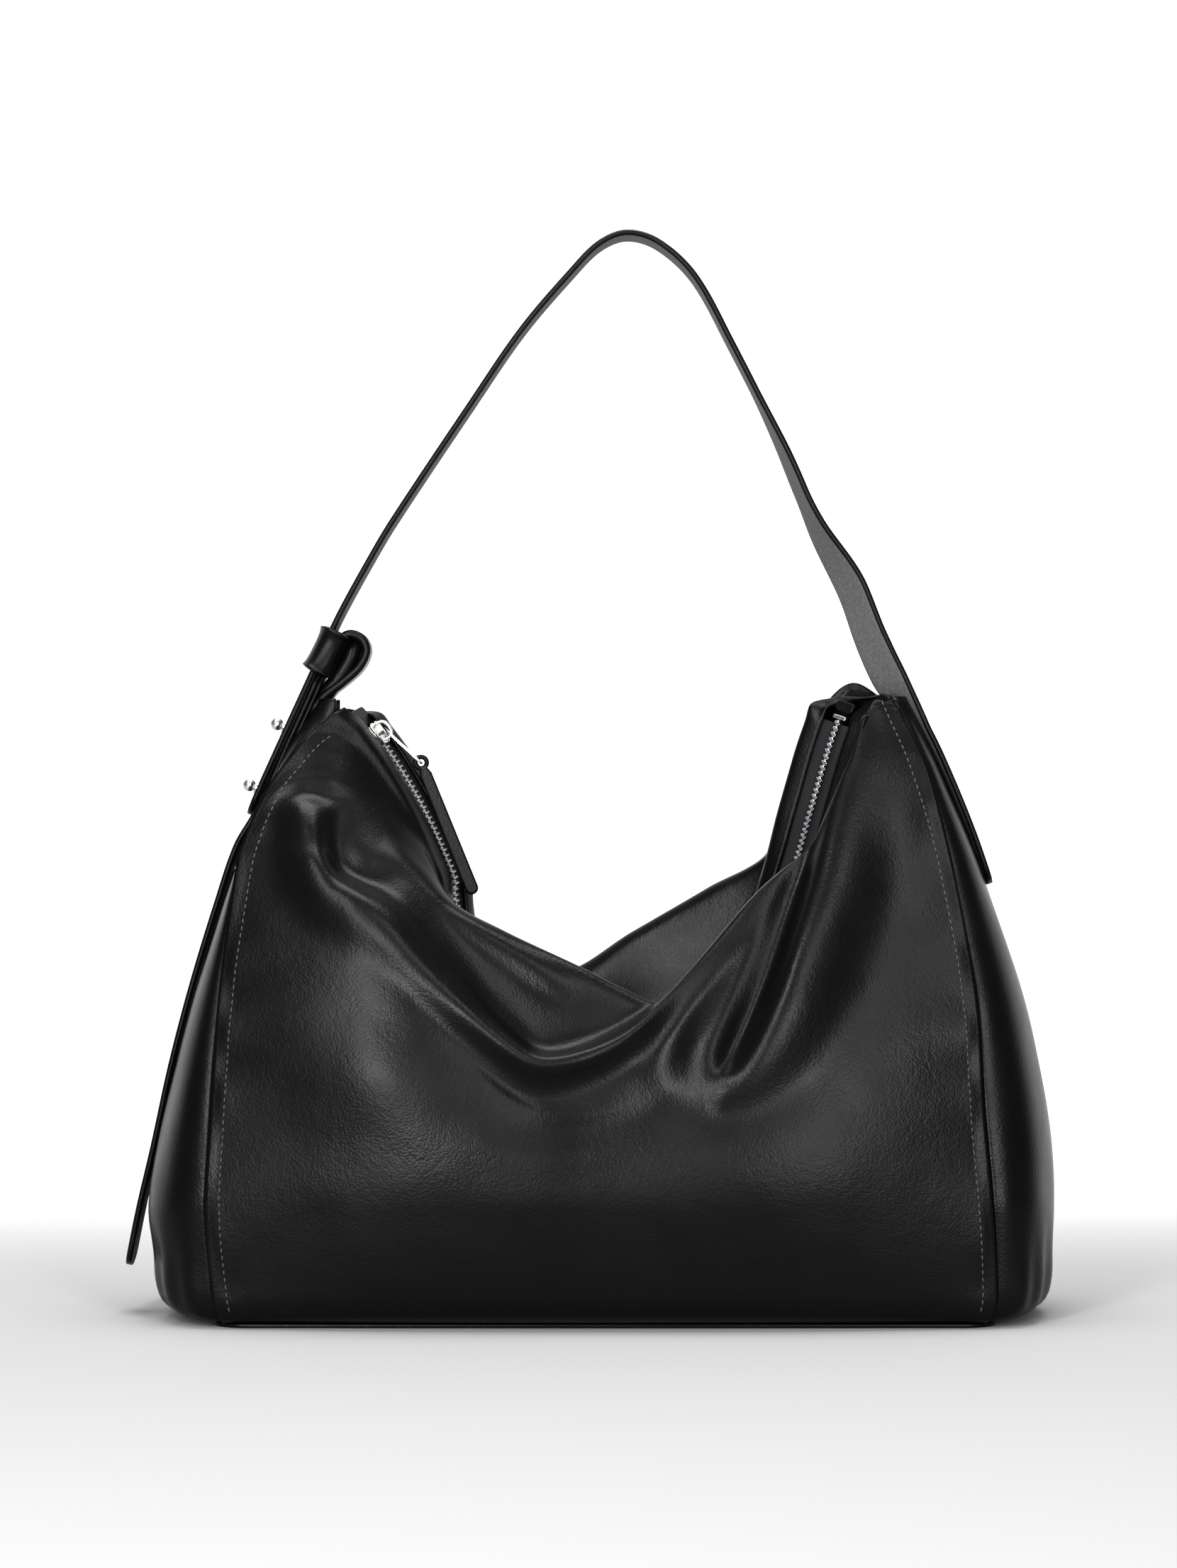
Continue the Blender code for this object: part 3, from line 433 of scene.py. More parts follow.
def folded(grid, folds, fade_rows):
    """A panel's grid with its folds, and soft unevenness, fading out over these rows."""
    normals = unit(blurred(grid_normals(grid), NORMAL_BLUR))
    lift = np.zeros(grid.shape[:2])
    for points in folds:
        lift += stroke(grid, points)
    lift = blurred(lift[..., None], FOLD_BLUR)[..., 0]
    rows = np.arange(len(grid))[:, None]
    lift *= 1 - smoothstep(*fade_rows, rows)
    for height, size, seed, rise in UNEVENNESS:
        lift += height * roughness_at(grid, size, seed) * smoothstep(0, rise, rows)
    columns = np.arange(grid.shape[1])
    edge = np.minimum(columns, columns[::-1])[None, :]
    z = grid[..., 2]
    pucker = np.sin(z / PUCKER_WAVE + 1.7 * np.sin(z / PUCKER_DRIFT))
    lift += SEAM_PUCKER * pucker * np.exp(-edge / PUCKER_REACH) * smoothstep(0, 5, edge)
    lift *= smoothstep(0, 4, edge) * smoothstep(0, 6, rows)
    return blurred(grid + lift[..., None] * normals, 2)


def add(name, mesh, look, body, stands_for=(), where=None):
    """Puts a mesh or curve in the scene, on a body of the frame."""
    obj = bpy.data.objects.new(name, mesh)
    for item in look if isinstance(look, list) else [look]:
        mesh.materials.append(item)
    bpy.context.scene.collection.objects.link(obj)
    if where is not None:
        obj.matrix_world = where
    if body:
        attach(obj, body)
    if stands_for:
        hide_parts(*stands_for)
    return obj


def mesh_of(name, points, faces, smooth=True, kinds=None):
    """A mesh. kinds says which of its materials each face takes."""
    mesh = bpy.data.meshes.new(name)
    mesh.from_pydata(np.asarray(points).reshape(-1, 3).tolist(), [], faces)
    if kinds is not None:
        mesh.polygons.foreach_set("material_index", kinds)
    if smooth:
        mesh.shade_smooth()
    return mesh


def grid_faces(rows, columns, closed_across=False):
    """The faces of a grid of points. Closed across, it is a tube with a ring on each row."""
    faces = []
    for j in range(rows - 1):
        for i in range(columns - (0 if closed_across else 1)):
            k = (i + 1) % columns
            faces.append((j * columns + i, j * columns + k, (j + 1) * columns + k,
                          (j + 1) * columns + i))
    return faces


def tube_faces(rings, sides, base=0):
    """The faces of a tube with both ends capped, whose rings of points start at base."""
    faces = [tuple(base + k for k in face) for face in grid_faces(rings, sides, True)]
    faces.append(tuple(base + i for i in reversed(range(sides))))
    faces.append(tuple(base + (rings - 1) * sides + i for i in range(sides)))
    return faces


def panel(name, grid, thickness, look, nodes, closed_across=False):
    """A sheet of leather or cloth: the grid is its outer face, thickened inwards."""
    mesh = mesh_of(name, grid, grid_faces(*grid.shape[:2], closed_across))
    solid = add(name, mesh, look, "root", nodes).modifiers.new("thickness", "SOLIDIFY")
    solid.thickness = thickness
    solid.offset = -1


def ribbon(name, line, width, thickness, look, body, nodes=(), twist=0,
           two_sided=False):
    """A strap along a line in the plane y = 0, with round edges and rounded ends."""
    count = len(line)
    out = normals_of(line)
    turn = np.radians(np.broadcast_to(twist, count))[:, None]
    across = Y * np.cos(turn) + out * np.sin(turn)
    face = out * np.cos(turn) - Y * np.sin(turn)
    arc_steps, flat_steps = 6, 6
    corner = 0.008
    edge = thickness / 2
    angle = np.linspace(pi / 2, -pi / 2, arc_steps + 1)
    arc = np.stack((width / 2 - edge + edge * np.cos(angle), edge * np.sin(angle)), axis=1)
    lower = np.linspace(arc[-1], -arc[0], flat_steps + 1)[1:-1]
    ring = np.concatenate((arc, lower, -arc, -lower))
    distance = knots_of(line)
    from_end = np.minimum(distance, distance[-1] - distance)
    share = np.clip(1 - from_end / corner, 0, 1)
    narrowing = 1 - (1 - np.sqrt(np.clip(1 - share**2, 0, 1))) * corner / (width / 2)
    points = (line[:, None] + (across * narrowing[:, None])[:, None] * ring[:, :1]
              + face[:, None] * ring[:, 1:])
    size = len(ring)
    faces = [face[::-1] for face in tube_faces(count, size)]
    kinds = None
    if two_sided:
        inner = range(arc_steps, arc_steps + flat_steps)
        kinds = [1 if i % size in inner else 0 for i in range((count - 1) * size)] + [0, 0]
    return add(name, mesh_of(name, points, faces, kinds=kinds), look, body, nodes)


def stitches(name, line, normals, look):
    """A row of stitches on a line, each a short thread bedded in the leather."""
    count = max(int(knots_of(line)[-1] / STITCH_PITCH), 2)
    starts = np.arange(count) * STITCH_PITCH + 0.15 * STITCH_PITCH
    tops = curve_at(line, starts)
    ends = curve_at(line, starts + STITCH_LENGTH)
    faces_up = unit(curve_at(np.concatenate((line, normals), 1), starts)[:, 3:])
    sides, rings = 6, 7
    points, faces = [], []
    for a, b, up in zip(tops, ends, faces_up):
        run = unit(b - a)
        side = unit(np.cross(run, up))
        base = len(points)
        for j in range(rings):
            t = j / (rings - 1)
            bulge = max(1 - (2 * t - 1) ** 4, 0.08)
            centre = a + (b - a) * t + up * STITCH_THREAD * (0.55 * sin(pi * t) - 0.15)
            for i in range(sides):
                angle = 2 * pi * i / sides
                ray = side * cos(angle) + up * sin(angle)
                points.append(centre + ray * STITCH_THREAD * bulge)
        faces.extend(tube_faces(rings, sides, base))
    add(name, mesh_of(name, points, faces), look, "root")


def ring_of(half_x, half_y, radius, steps=6, centre=(0, 0)):
    """A rounded rectangle's outline, with this many steps in each corner."""
    ring = []
    for quarter, (sx, sy) in enumerate(((1, 1), (-1, 1), (-1, -1), (1, -1))):
        for i in range(steps + 1):
            angle = pi / 2 * (quarter + i / steps)
            x = sx * (half_x - radius) + radius * cos(angle)
            y = sy * (half_y - radius) + radius * sin(angle)
            ring.append((centre[0] + x, centre[1] + y))
    return ring


def frame_at(origin, x_axis, y_axis):
    """A matrix that places local X and Y along these directions."""
    x_axis, y_axis = Vector(x_axis).normalized(), Vector(y_axis).normalized()
    z_axis = x_axis.cross(y_axis)
    turn = Matrix((x_axis, y_axis, z_axis)).transposed().to_4x4()
    return Matrix.Translation(Vector(origin)) @ turn


def plate(name, outlines, half_thickness, edge, matrix, look, body, nodes=()):
    """A flat piece from outlines in the local XY plane, its edges rounded by edge."""
    curve = bpy.data.curves.new(name, "CURVE")
    curve.dimensions = "2D"
    curve.fill_mode = "BOTH"
    curve.extrude = half_thickness - edge
    curve.bevel_depth = edge
    curve.bevel_resolution = 3
    curve.offset = -edge
    for ring in outlines:
        run = curve.splines.new("POLY")
        run.points.add(len(ring) - 1)
        for point, (x, y) in zip(run.points, ring):
            point.co = (x, y, 0, 1)
        run.use_cyclic_u = True
    return add(name, curve, look, body, nodes, matrix)


def turned(name, profile, matrix, look, body, nodes=(), sides=40):
    """A solid of revolution about local Z, from a profile of (radius, height)."""
    angles = [2 * pi * i / sides for i in range(sides)]
    points = [matrix @ Vector((radius * cos(angle), radius * sin(angle), height))
              for radius, height in profile for angle in angles]
    faces = [face[::-1] for face in tube_faces(len(profile), sides)]
    return add(name, mesh_of(name, points, faces), look, body, nodes)


def wire(name, line, radius, look, body, nodes=()):
    """A round wire along a line."""
    curve = bpy.data.curves.new(name, "CURVE")
    curve.dimensions = "3D"
    curve.bevel_depth = radius
    curve.bevel_resolution = 4
    curve.use_fill_caps = True
    run = curve.splines.new("POLY")
    run.points.add(len(line) - 1)
    for point, place in zip(run.points, line):
        point.co = (*place, 1)
    return add(name, curve, look, body, nodes)


# Looks

LEATHER_GLOSS = 0.085
CLOTH_GLOSS = 0.12


def new_material(name):
    """A material with a single shader."""
    made = bpy.data.materials.new(name)
    made.use_nodes = True
    return made


def set_inputs(made, node, inputs):
    """Sets a shader node's inputs, each to a value or to another node's output."""
    for name, value in inputs.items():
        if isinstance(value, bpy.types.NodeSocket):
            made.node_tree.links.new(value, node.inputs[name])
        else:
            node.inputs[name].default_value = value


def add_node(made, kind, inputs, **settings):
    """A new shader node in a material."""
    node = made.node_tree.nodes.new("ShaderNode" + kind)
    for name, value in settings.items():
        setattr(node, name, value)
    set_inputs(made, node, inputs)
    return node


def texture(made, kind, inputs, **settings):
    """A texture that stays with the object, its coordinates in metres."""
    place = add_node(made, "TexCoord", {}).outputs["Object"]
    return add_node(made, "Tex" + kind, {"Vector": place, **inputs}, **settings)


def ranged(made, value, given, wanted, **settings):
    """A value carried from the range given to the range wanted."""
    inputs = {"Value": value, "From Min": given[0], "From Max": given[1],
              "To Min": wanted[0], "To Max": wanted[1]}
    return add_node(made, "MapRange", inputs, **settings).outputs["Result"]


def bump(made, height, strength, distance):
    """The shading normal over a relief."""
    inputs = {"Height": height, "Strength": strength, "Distance": distance}
    return add_node(made, "Bump", inputs).outputs["Normal"]


def finished(made, color, roughness, **inputs):
    """The material with its shader set. In the names of inputs, _ stands for a space."""
    more = {name.replace("_", " "): value for name, value in inputs.items()}
    if not isinstance(color, bpy.types.NodeSocket):
        color = (*color, 1)
    set_inputs(made, made.node_tree.nodes["Principled BSDF"],
               {"Base Color": color, "Roughness": roughness, **more})
    return made


def leather_material(name, color, roughness, grain, depth):
    """Leather: rounded grain cells with fine creases between them, and slightly uneven gloss."""
    made = new_material(name)
    cells = texture(made, "Voronoi", {"Scale": 1 / grain, "Smoothness": 0.35},
                    feature="SMOOTH_F1")
    lumps = texture(made, "Noise", {"Scale": 0.35 / grain, "Detail": 2, "Roughness": 0.35})
    relief = add_node(made, "Math", {0: cells.outputs["Distance"], 1: -0.8,
                                     2: lumps.outputs["Fac"]}, operation="MULTIPLY_ADD")
    patches = texture(made, "Noise", {"Scale": 30, "Detail": 3})
    gloss = ranged(made, patches.outputs["Fac"], (0.3, 0.7), (roughness - 0.05, roughness + 0.05))
    return finished(made, color, gloss, Specular_IOR_Level=LEATHER_GLOSS,
                    Normal=bump(made, relief.outputs[0], 0.55, depth))


def cloth_material(name, color, weave, roughness):
    """Plain woven cloth."""
    made = new_material(name)
    threads = texture(made, "Wave", {"Scale": 1 / weave, "Distortion": 0.6})
    return finished(made, color, roughness, Specular_IOR_Level=CLOTH_GLOSS,
                    Normal=bump(made, threads.outputs["Fac"], 0.4, 0.0002))


def underside_material(name, color):
    """The strap's underside: a flat grey, matt, with soft speckle."""
    made = new_material(name)
    fuzz = texture(made, "Noise", {"Scale": 900, "Detail": 5}).outputs["Fac"]
    tint = add_node(made, "ValToRGB", {"Fac": fuzz})
    for stop, place, share in zip(tint.color_ramp.elements, (0.3, 0.7), (0.6, 1.3)):
        stop.position = place
        stop.color = (*(share * c for c in color), 1)
    return finished(made, tint.outputs["Color"], 0.9, Normal=bump(made, fuzz, 0.5, 0.0002))


def metal_material(name, color, roughness):
    """Polished plating with faint wear."""
    made = new_material(name)
    wear = texture(made, "Noise", {"Scale": 500, "Detail": 3})
    gloss = ranged(made, wear.outputs["Fac"], (0, 1), (roughness * 0.7, roughness * 1.4))
    return finished(made, color, gloss, Metallic=1)


def plain_material(name, color, roughness):
    """One colour all over."""
    return finished(new_material(name), color, roughness)


# Pieces

def zip_rails(sign):
    """A panel's last rails, along the zip from tip to tip, held just off the tape."""
    line, across, face = zip_frame(60)
    lift = TAPE_THICKNESS / 2 + TAPE_OFF_PANEL + PANEL_LEATHER
    rails = []
    for reach, *tips in ZIP_RAILS:
        left, right = np.array(tips) * (1, -sign, 1)
        rails.append(np.concatenate(([left], line + sign * reach * across + lift * face, [right])))
    return rails


def inner_sheet(grid, depth, part):
    """Part of a panel's grid, moved in off the leather."""
    inward = unit(blurred(grid_normals(grid), NORMAL_BLUR))
    return (grid - depth * inward)[part]


def make_panels(looks):
    """The front and back panels, their lining, the pocket and the stitches at the side seams."""
    columns = 280
    grids = {}
    for side, sign, rails, steps, lip_rail, folds in (
        ("front", 1, FRONT_RAILS, FRONT_STEPS, FRONT_LIP_RAIL, FRONT_FOLDS),
        ("back", -1, BACK_RAILS, BACK_STEPS, BACK_LIP_RAIL, BACK_FOLDS),
    ):
        grid = grid_of([*rails, *zip_rails(sign)], columns, steps)[:, ::sign]
        lip_row = sum(steps[:lip_rail])
        grid = folded(blurred(grid, 3), folds, (lip_row - 11, lip_row + 3))
        panel(side + "_leather", grid, PANEL_LEATHER, looks["leather"], [side + "_panel"])
        grids[side] = grid
    for side, grid in grids.items():
        cloth = inner_sheet(grid, PANEL_LEATHER + 0.0024, np.s_[13:92:3, 8:-8:4])
        panel(side + "_cloth", cloth, CLOTH_THICKNESS, looks["lining"], [side + "_lining"])
        for edge, column in (("left", 5), ("right", -6)):
            stitches(f"stitches_{side}_{edge}", grid[8:-14, column],
                     grid_normals(grid)[8:-14, column], looks["thread"])
    pocket = inner_sheet(grids["back"], PANEL_LEATHER + 0.0062, np.s_[30:78:3, 90:190:4])
    panel("pocket_cloth", pocket, CLOTH_THICKNESS, looks["lining"], ["inner_pocket"])


def make_gussets(looks):
    """The two gussets: at each height a rounded arc from seam to seam, puckered and uneven."""
    levels, turns = 96, 61
    edge = PANEL_LEATHER + 0.0008
    tuck = 0.0006
    angle = np.linspace(0, pi, turns)
    share = np.linspace(0, 1, turns)[None, :]
    for side, sign, outline, seam in (
        ("left", -1, GUSSET_LEFT, SEAM_LEFT),
        ("right", 1, GUSSET_RIGHT, SEAM_RIGHT),
    ):
        middle = along(in_plane(outline), levels)
        height = middle[:, 2:]
        seam_x, seam_y, seam_z = np.array(seam).T
        corner = np.interp(height, seam_z, seam_x) - tuck
        depth = np.interp(height, seam_z, seam_y) - edge
        x = corner + (middle[:, :1] - corner) * np.sin(angle) ** 0.8
        grid = np.stack((sign * x, -sign * depth * np.cos(angle), height + 0 * x), axis=2)
        normals = grid_normals(grid)
        low = np.exp(-((height - CORNER_HEIGHT) / CORNER_SPREAD) ** 2)
        lift = 0.0018 * roughness_at(grid, 0.040, 5.5 + sign, (1, 1, 0.45))
        lift += GUSSET_PUCKER * low * np.sin(2 * pi * (CORNER_WAVES * share + 0.4 * sign))
        lift += 0.00012 * roughness_at(grid, 0.012, 9.5 + sign)
        lift *= np.sin(pi * share) ** 0.5 * smoothstep(0.003, 0.012, height)
        lift *= 1 - 0.85 * smoothstep(0.13, 0.18, height)
        grid = blurred(grid + lift[..., None] * normals, 2)
        panel("gusset_leather_" + side, grid, PANEL_LEATHER, looks["leather"],
              ["gusset_" + side])
        cloth = inner_sheet(grid, PANEL_LEATHER + 0.0016, np.s_[14:76:3, 6:-6:3])
        panel("gusset_cloth_" + side, cloth, CLOTH_THICKNESS, looks["lining"],
              ["gusset_lining_" + side])


def make_base(looks):
    """The base panel, between the turned-under edges of the others."""
    outline = ring_of(0.1790, 0.0545, 0.016, 10)
    where = Matrix.Translation((0.0015, 0, 0.0009))
    plate("base_leather", [outline], 0.0009, 0.0006, where, looks["leather"], "root",
          ["base_panel"])


def make_zip(looks):
    """Both tapes with their rows of teeth, the stops and the leather end tabs."""
    count = 300
    line, across, face = zip_frame(count)
    run = runs_of(line)
    distance = knots_of(line)
    reaches = np.array((0.0012, 0.0045, 0.0085, 0.0120, 0.0152))
    for side, sign in (("front", 1), ("back", -1)):
        tape = (line[:, None] + sign * reaches[None, :, None] * across[:, None])[:, ::-sign]
        panel("tape_" + side, tape[4:-4], TAPE_THICKNESS, looks["tape"],
              ["zip_tape_" + side])
        start = 0.006 + (0.5 * TOOTH_PITCH if sign < 0 else 0)
        places = np.arange(start, distance[-1] - 0.004, TOOTH_PITCH)
        frames = [curve_at(np.concatenate((line, vectors), 1), places)[:, 3:]
                  for vectors in (run, across, face)]
        middles = curve_at(line, places)
        points, faces = [], []
        for at, along_it, across_it, out in zip(middles, *frames):
            base = len(points)
            for height, share in TOOTH_LAYERS:
                for a, b in TOOTH_SHAPE:
                    b = TOOTH_ROOT + (b - TOOTH_ROOT) * (share + 1) / 2
                    points.append(at + along_it * a * share + sign * across_it * b + out * height)
            faces.extend(tube_faces(len(TOOTH_LAYERS), len(TOOTH_SHAPE), base))
        mesh = mesh_of("teeth_" + side, points, faces, smooth=False)
        teeth = add("teeth_" + side, mesh, looks["teeth"], "root", ["zip_teeth_" + side])
        teeth.modifiers.new("edge", "BEVEL").width = 0.00012
    for name, index, sign, tab in (("left", 3, 1, (0.0046, 0.0085)),
                                   ("right", count - 3, -1, (0.0026, 0.0048))):
        where = frame_at(line[index], run[index], across[index])
        plate("stop_" + name, [ring_of(0.0010, 0.0034, 0.0006)], 0.0014, 0.0003, where,
              looks["metal"], "root", ["zip_stop_" + name])
        end = 0 if sign > 0 else count - 1
        middle = line[end] - sign * 0.0026 * run[end] - 0.0012 * face[end]
        where = frame_at(middle, run[end], across[end])
        plate("end_tab_" + name, [ring_of(*tab, 0.0022)], 0.0012, 0.0005, where,
              looks["strap"], "root", ["zip_end_tab_" + name])


def lean_of(degrees):
    """The direction at this angle in the plane y = 0."""
    return np.array((cos(radians(degrees)), 0, sin(radians(degrees))))


def make_slider(looks):
    """The slider: two plates joined by walls, and the bridge that holds the pull."""
    out = lean_of(SLIDER_AT)
    down = np.array((out[2], 0, -out[0]))
    middle = ZIP_CENTRE + ZIP_RADIUS * out
    roll = radians(SLIDER_ROLL)
    across = -Y * cos(roll) - out * sin(roll)
    face = out * cos(roll) - Y * sin(roll)
    body = metres((
        (5.8, 3), (5.8, -3), (5, -3.6), (-0.8, -5), (-4, -5.2), (-5.4, -4.4), (-5.8, -1.8),
        (-5, 0), (-5.8, 1.8), (-5.4, 4.4), (-4, 5.2), (-0.8, 5), (5, 3.6),
    ))
    silver = looks["silver"]
    for name, lift, nodes in (("top", 0.0024, ["slider_body"]), ("bottom", -0.0024, [])):
        where = frame_at(middle + lift * face, down, across)
        plate("slider_" + name, [body], 0.0007, 0.0003, where, silver, "slider", nodes)
    wall = metres(((-4.6, 4.5), (4.4, 3), (4.6, 3.6), (-0.6, 5.2), (-4.4, 5.3)))
    for name, sign in (("front", 1), ("back", -1)):
        outline = [(x, sign * y) for x, y in wall]
        for level, lift in (("upper", 0.0014), ("lower", -0.0014)):
            where = frame_at(middle + lift * face, down, across)
            plate(f"slider_wall_{name}_{level}", [outline], 0.0006, 0.0001, where, silver,
                  "slider")
    arch = []
    for turn in np.linspace(0, pi, 25):
        lift = BRIDGE_FOOT + BRIDGE_RISE * abs(sin(turn)) ** 0.6
        arch.append(middle - 0.0043 * cos(turn) * down + lift * out)
    wire("slider_arch", arch, 0.00075, silver, "slider", ["slider_bridge"])
    make_pull(looks, middle + PULL_PIVOT_LIFT * out + PULL_PIVOT_DOWN * down)


def make_pull(looks, pivot):
    """The pull bar, which hangs from the bridge, and the leather tab in its eye."""
    lean = lean_of(PULL_ANGLE)
    end = PULL_LENGTH + 0.0007
    half = ((-0.0008, 0.0028), (0.0060, 0.0028), (end - 0.003, 0.0040), (end, 0.0034))
    bar = [*half, *((x, -y) for x, y in reversed(half))]
    windows = [ring_of(0.0021, 0.0016, 0.0005, 3, (0.0029, 0)),
               ring_of(0.0021, 0.0022, 0.0005, 3, (PULL_LENGTH - 0.0028, 0))]
    plate("pull_plate", [bar, *windows], 0.0006, 0.0002, frame_at(pivot, lean, Y),
          looks["silver"], "pull", ["pull_bar"])

    hang = lean_of(TAB_ANGLE)
    head_radius, tip_radius = 0.0038, 0.0031
    head = [(head_radius * cos(a), head_radius * sin(a))
            for a in np.linspace(pi / 6, pi * 11 / 6, 25)]
    tip = [(TAB_LENGTH - tip_radius + tip_radius * sin(a), -tip_radius * cos(a))
           for a in np.linspace(0, pi, 13)]
    strip = head + [(0.006, -0.0029)] + tip + [(0.006, 0.0029)]
    eye = frame_at(pivot + PULL_LENGTH * lean, hang, (-hang[2], 0, hang[0]))
    plate("pull_strip", [strip, ring_of(0.0016, 0.0016, 0.0016)], 0.0017, 0.0011, eye,
          looks["strap"], "tab", ["pull_tab"])


def make_strap(looks):
    """The shoulder strap and its tail, and the side band below."""
    # the strap's underside faces take a flat matt grey colour
    sides = [looks["strap"], looks["grey_underside"]]
    line = along(in_plane(STRAP_LINE), 260)
    twist = ramp(STRAP_TWIST, np.linspace(0, 1, len(line)))
    strap = ribbon("strap_leather", line, STRAP_WIDTH, STRAP_THICKNESS, sides, None,
                   twist=twist, two_sided=True)
    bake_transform(strap)
    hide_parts("shoulder_strap", "strap_stud_run", "strap_right_end")
    line = along(in_plane(TAIL_LINE), 110)
    tail = ribbon("tail_leather", line, STRAP_WIDTH, STRAP_THICKNESS, sides, None,
                  two_sided=True)
    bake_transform(tail)
    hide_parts("strap_tail")
    line = along(in_plane(SIDE_BAND_LINE), 60)
    ribbon("side_band", line, STRAP_WIDTH - 0.002, BAND_THICKNESS, looks["strap"], "root",
           ["side_band_left"])
    fold = line[int(0.55 * len(line)):] + BAND_FOLD_OFF * unit(OUT_OF_STRAP)
    ribbon("side_band_fold", fold, STRAP_WIDTH - 0.004, BAND_FOLD_THICKNESS, looks["strap"],
           "root")


def make_knot(looks):
    """The keeper at the left tip, a barrel with flared ends, and the loop that comes out of it."""
    ribbon("loop_band", along(in_plane(LOOP_LINE), 90), 0.0200, 0.0042, looks["strap"], "root",
           ["knot_loop"])
    ribbon("loop_fold", along(in_plane(LOOP_FOLD_LINE), 40), 0.0180, 0.0076, looks["strap"],
           "root")
    axis = unit(KEEPER_ALONG)
    across = np.array((axis[2], 0, -axis[0]))
    half_y, half_across, half_along = KEEPER_HALF_SIZES
    rows, sides = 33, 64
    t = np.linspace(-1, 1, rows)[:, None, None]
    angle = -2 * pi * np.arange(sides)[:, None] / sides
    flare = 1 + 0.10 * abs(t) ** 5 - 0.04 * (1 - t * t)
    a, b = (np.sign(ray) * abs(ray) ** 0.75 for ray in (np.cos(angle), np.sin(angle)))
    grid = (KEEPER + 0.0020 * across + half_y * a * flare * Y
            + half_across * b * flare * across + half_along * t * axis)
    panel("keeper_leather", grid, 0.0019, looks["strap"], ["knot_keeper"],
          True)


def make_studs(looks):
    """The two ball studs on the strap, each with its neck and its foot."""
    ball = [(0.00002, 0.0076)]
    radius = 0.0031
    for i in range(1, 13):
        angle = pi / 2 - i * 0.205
        ball.append((radius * cos(angle), 0.0045 + radius * sin(angle)))
    ball += [(0.0013, 0.0018), (0.0029, 0.0012), (0.0032, 0.0008), (0.0032, 0.0004),
             (0.00002, 0.0004)]
    for name, (x, z) in zip(("upper", "lower"), STUDS):
        outside = Vector((x, 0, z)) + (STRAP_THICKNESS / 2) * Vector(OUT_OF_STRAP)
        side = Vector((0, 1, 0))
        where = frame_at(outside, side, Vector(OUT_OF_STRAP).cross(side))
        turned("stud_ball_" + name, ball, where, looks["silver"], "root", ["stud_" + name])


def dress_frame(looks):
    """Gives the frame's own pieces that stay in view their finish."""
    for node, look in (("base_board", "board"), ("base_lining", "lining"),
                       ("stud_washer_upper", "silver"), ("stud_washer_lower", "silver")):
        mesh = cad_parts[node].data
        mesh.materials.clear()
        mesh.materials.append(looks[look])


# Studio

def area_light(name, place, target, size, watts):
    """A rectangular lamp that faces its target."""
    data = bpy.data.lights.new(name, "AREA")
    data.shape = "RECTANGLE"
    data.size, data.size_y = size
    data.energy = watts
    light = bpy.data.objects.new(name, data)
    light.location = place
    aim = Vector(target) - Vector(place)
    light.rotation_euler = aim.to_track_quat("-Z", "Y").to_euler()
    bpy.context.scene.collection.objects.link(light)


# Name, place, what it faces, width and height, watts
STUDIO_LIGHTS = (
    ("top_light", (0, -0.10, 1.7), (0, 0, 0.15), (1.3, 0.8), 52),
    ("left_light", (-0.44, -1.60, 0.26), (-0.05, 0, 0.10), (0.30, 0.40), 20),
    ("right_light", (0.54, -1.55, 0.26), (0.08, 0, 0.10), (0.30, 0.40), 12),
    ("left_strip_light", (-0.52, -1.30, 0.95), (-0.05, 0, 0.18), (0.22, 0.80), 22),
    ("right_strip_light", (0.46, -1.30, 0.95), (0.08, 0, 0.18), (0.22, 0.80), 10),
)
# The floor runs back and sweeps up into a wall. Its colour rises along y from dark, where it
# would show in the leather, and behind the bag it glows white
SWEEP_FRONT, SWEEP_BEND, SWEEP_RADIUS, SWEEP_TOP, SWEEP_HALF_WIDTH = -4.0, 0.9, 0.8, 3.4, 4.0
PALE_REACH, FLOOR_SHADES = (-1.3, -0.62), (0.07, 0.27)
GLOW_REACH, GLOW = (0.05, 0.85), (0, 1)
SKY = 0.20
# The camera faces the plane y = 0 from this far, and sees this much of its height
CAMERA_DISTANCE = 1.8
CAMERA_PLACE = (-0.006, -CAMERA_DISTANCE, 0.2464)
SEEN_HEIGHT = 0.7322
SENSOR = 36


def rise_along_y(made, reach, values):
    """A value that rises smoothly between two places along y."""
    place = add_node(made, "TexCoord", {}).outputs["Object"]
    y = add_node(made, "SeparateXYZ", {"Vector": place}).outputs["Y"]
    return ranged(made, y, reach, values, interpolation_type="SMOOTHSTEP")


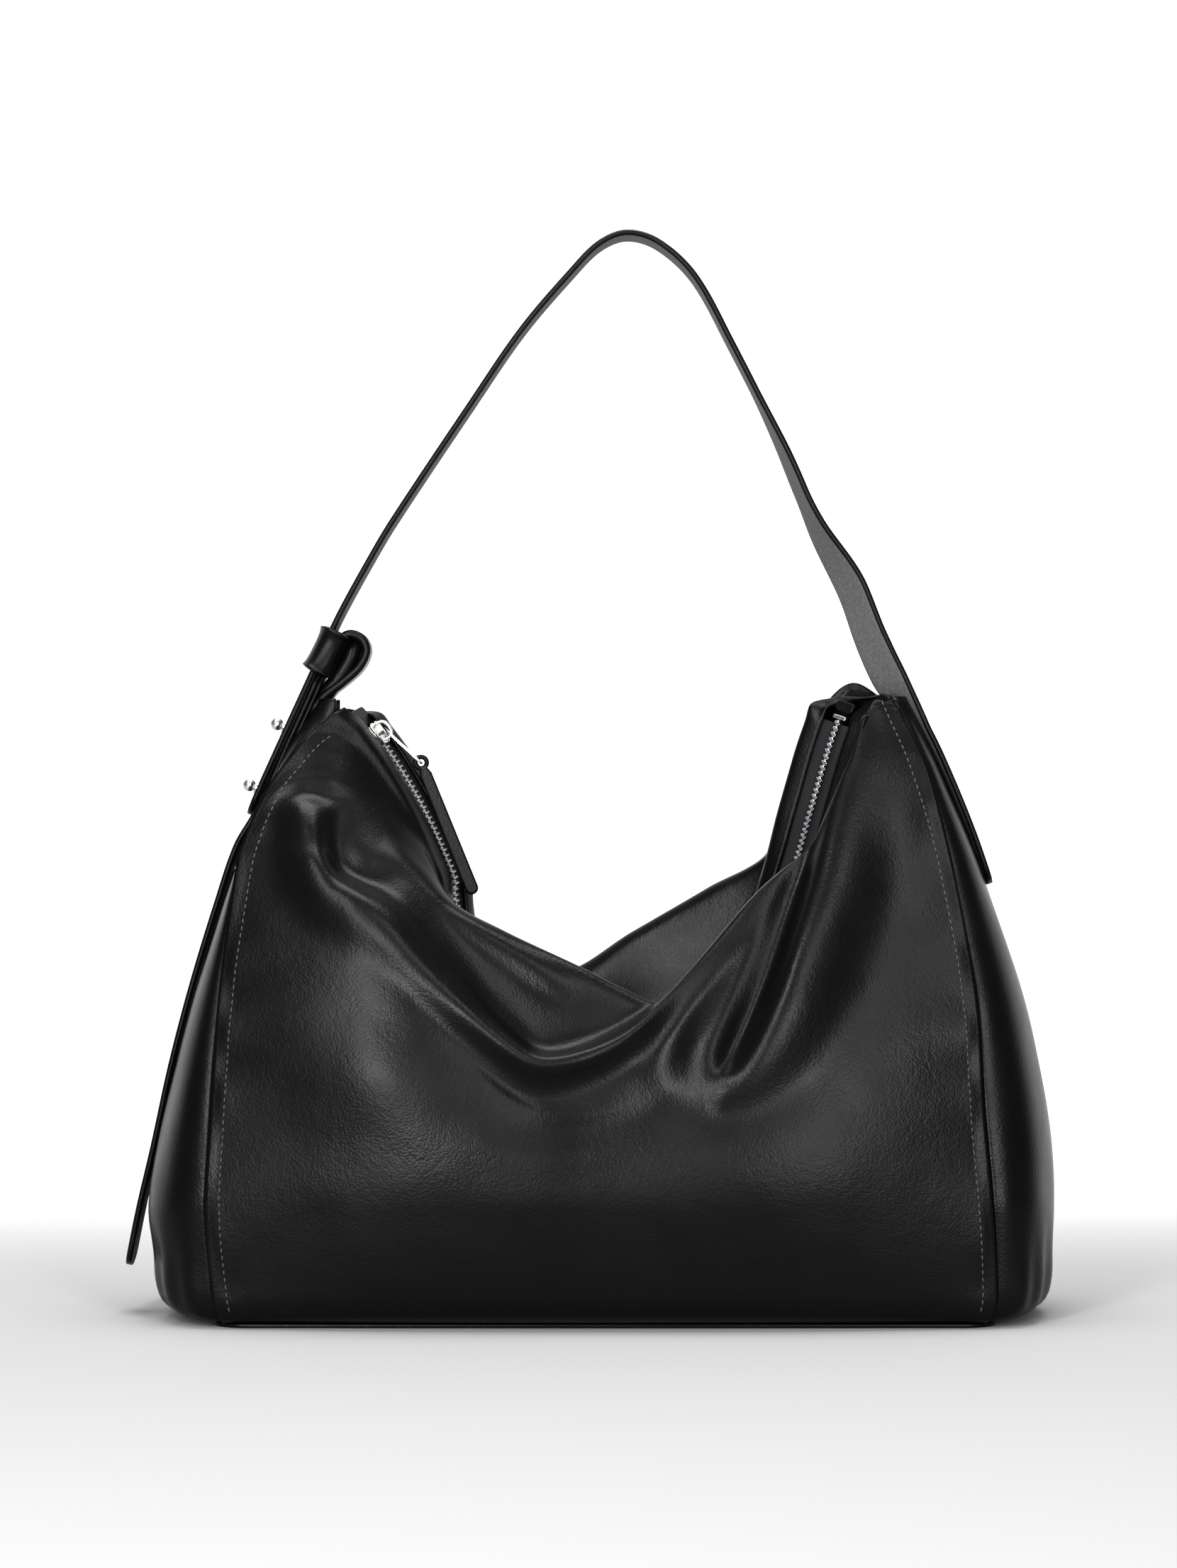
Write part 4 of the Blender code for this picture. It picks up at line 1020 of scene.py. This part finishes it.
def make_sweep():
    """The studio's floor and wall."""
    profile = [(SWEEP_FRONT, 0), (GLOW_REACH[0], 0), (SWEEP_BEND, 0)]
    for i in range(1, 13):
        angle = pi / 2 * i / 12
        profile.append((SWEEP_BEND + SWEEP_RADIUS * sin(angle), SWEEP_RADIUS * (1 - cos(angle))))
    profile.append((SWEEP_BEND + SWEEP_RADIUS, SWEEP_TOP))
    below_bag = 0.0002
    grid = np.array([[(x, y, z - below_bag) for x in (-SWEEP_HALF_WIDTH, SWEEP_HALF_WIDTH)]
                     for y, z in profile])
    made = new_material("studio_white")
    finished(made, rise_along_y(made, PALE_REACH, FLOOR_SHADES), 0.95, Specular_IOR_Level=0.1,
             Emission_Color=(1, 1, 1, 1), Emission_Strength=rise_along_y(made, GLOW_REACH, GLOW))
    sweep = add("studio_sweep", mesh_of("studio_sweep", grid, grid_faces(*grid.shape[:2])),
                made, None)


def make_studio():
    """The sweep, the lamps, the sky and the camera."""
    make_sweep()
    for light in STUDIO_LIGHTS:
        area_light(*light)
    world = bpy.data.worlds.new("studio_world")
    world.use_nodes = True
    sky = world.node_tree.nodes["Background"]
    set_inputs(world, sky, {"Color": (1, 1, 1, 1), "Strength": SKY})
    scene = bpy.context.scene
    scene.world = world
    scene.view_settings.view_transform = "Standard"

    data = bpy.data.cameras.new("camera")
    data.sensor_fit = "VERTICAL"
    data.sensor_height = SENSOR
    data.lens = SENSOR * CAMERA_DISTANCE / SEEN_HEIGHT
    camera = bpy.data.objects.new("camera", data)
    camera.location = CAMERA_PLACE
    camera.rotation_euler = (pi / 2, 0, 0)
    scene.collection.objects.link(camera)
    scene.camera = camera


def main():
    """Makes the looks, the pieces and the studio."""
    black = (0.0012, 0.0012, 0.0013)
    looks = {
        "leather": leather_material("body_leather_look", black, 0.32, 0.0011, 0.00013),
        "strap": leather_material("strap_leather_look", black, 0.34, 0.0009, 0.00007),
        "grey_underside": underside_material("strap_underside", (0.070, 0.070, 0.072)),
        "lining": cloth_material("lining_cloth", (0.02, 0.02, 0.022), 0.0008, 0.8),
        "tape": cloth_material("zip_tape_cloth", (0.008, 0.008, 0.009), 0.0009, 0.75),
        "teeth": metal_material("gunmetal_teeth", (0.30, 0.30, 0.31), 0.25),
        "metal": metal_material("gunmetal", (0.32, 0.32, 0.33), 0.25),
        "silver": metal_material("nickel_plate", (0.78, 0.77, 0.75), 0.18),
        "thread": plain_material("dark_thread", (0.012, 0.012, 0.013), 0.55),
        "board": plain_material("stiffener_board", (0.05, 0.045, 0.04), 0.85),
    }
    make_panels(looks)
    make_gussets(looks)
    make_base(looks)
    make_zip(looks)
    make_slider(looks)
    make_strap(looks)
    make_knot(looks)
    make_studs(looks)
    dress_frame(looks)
    make_studio()


main()
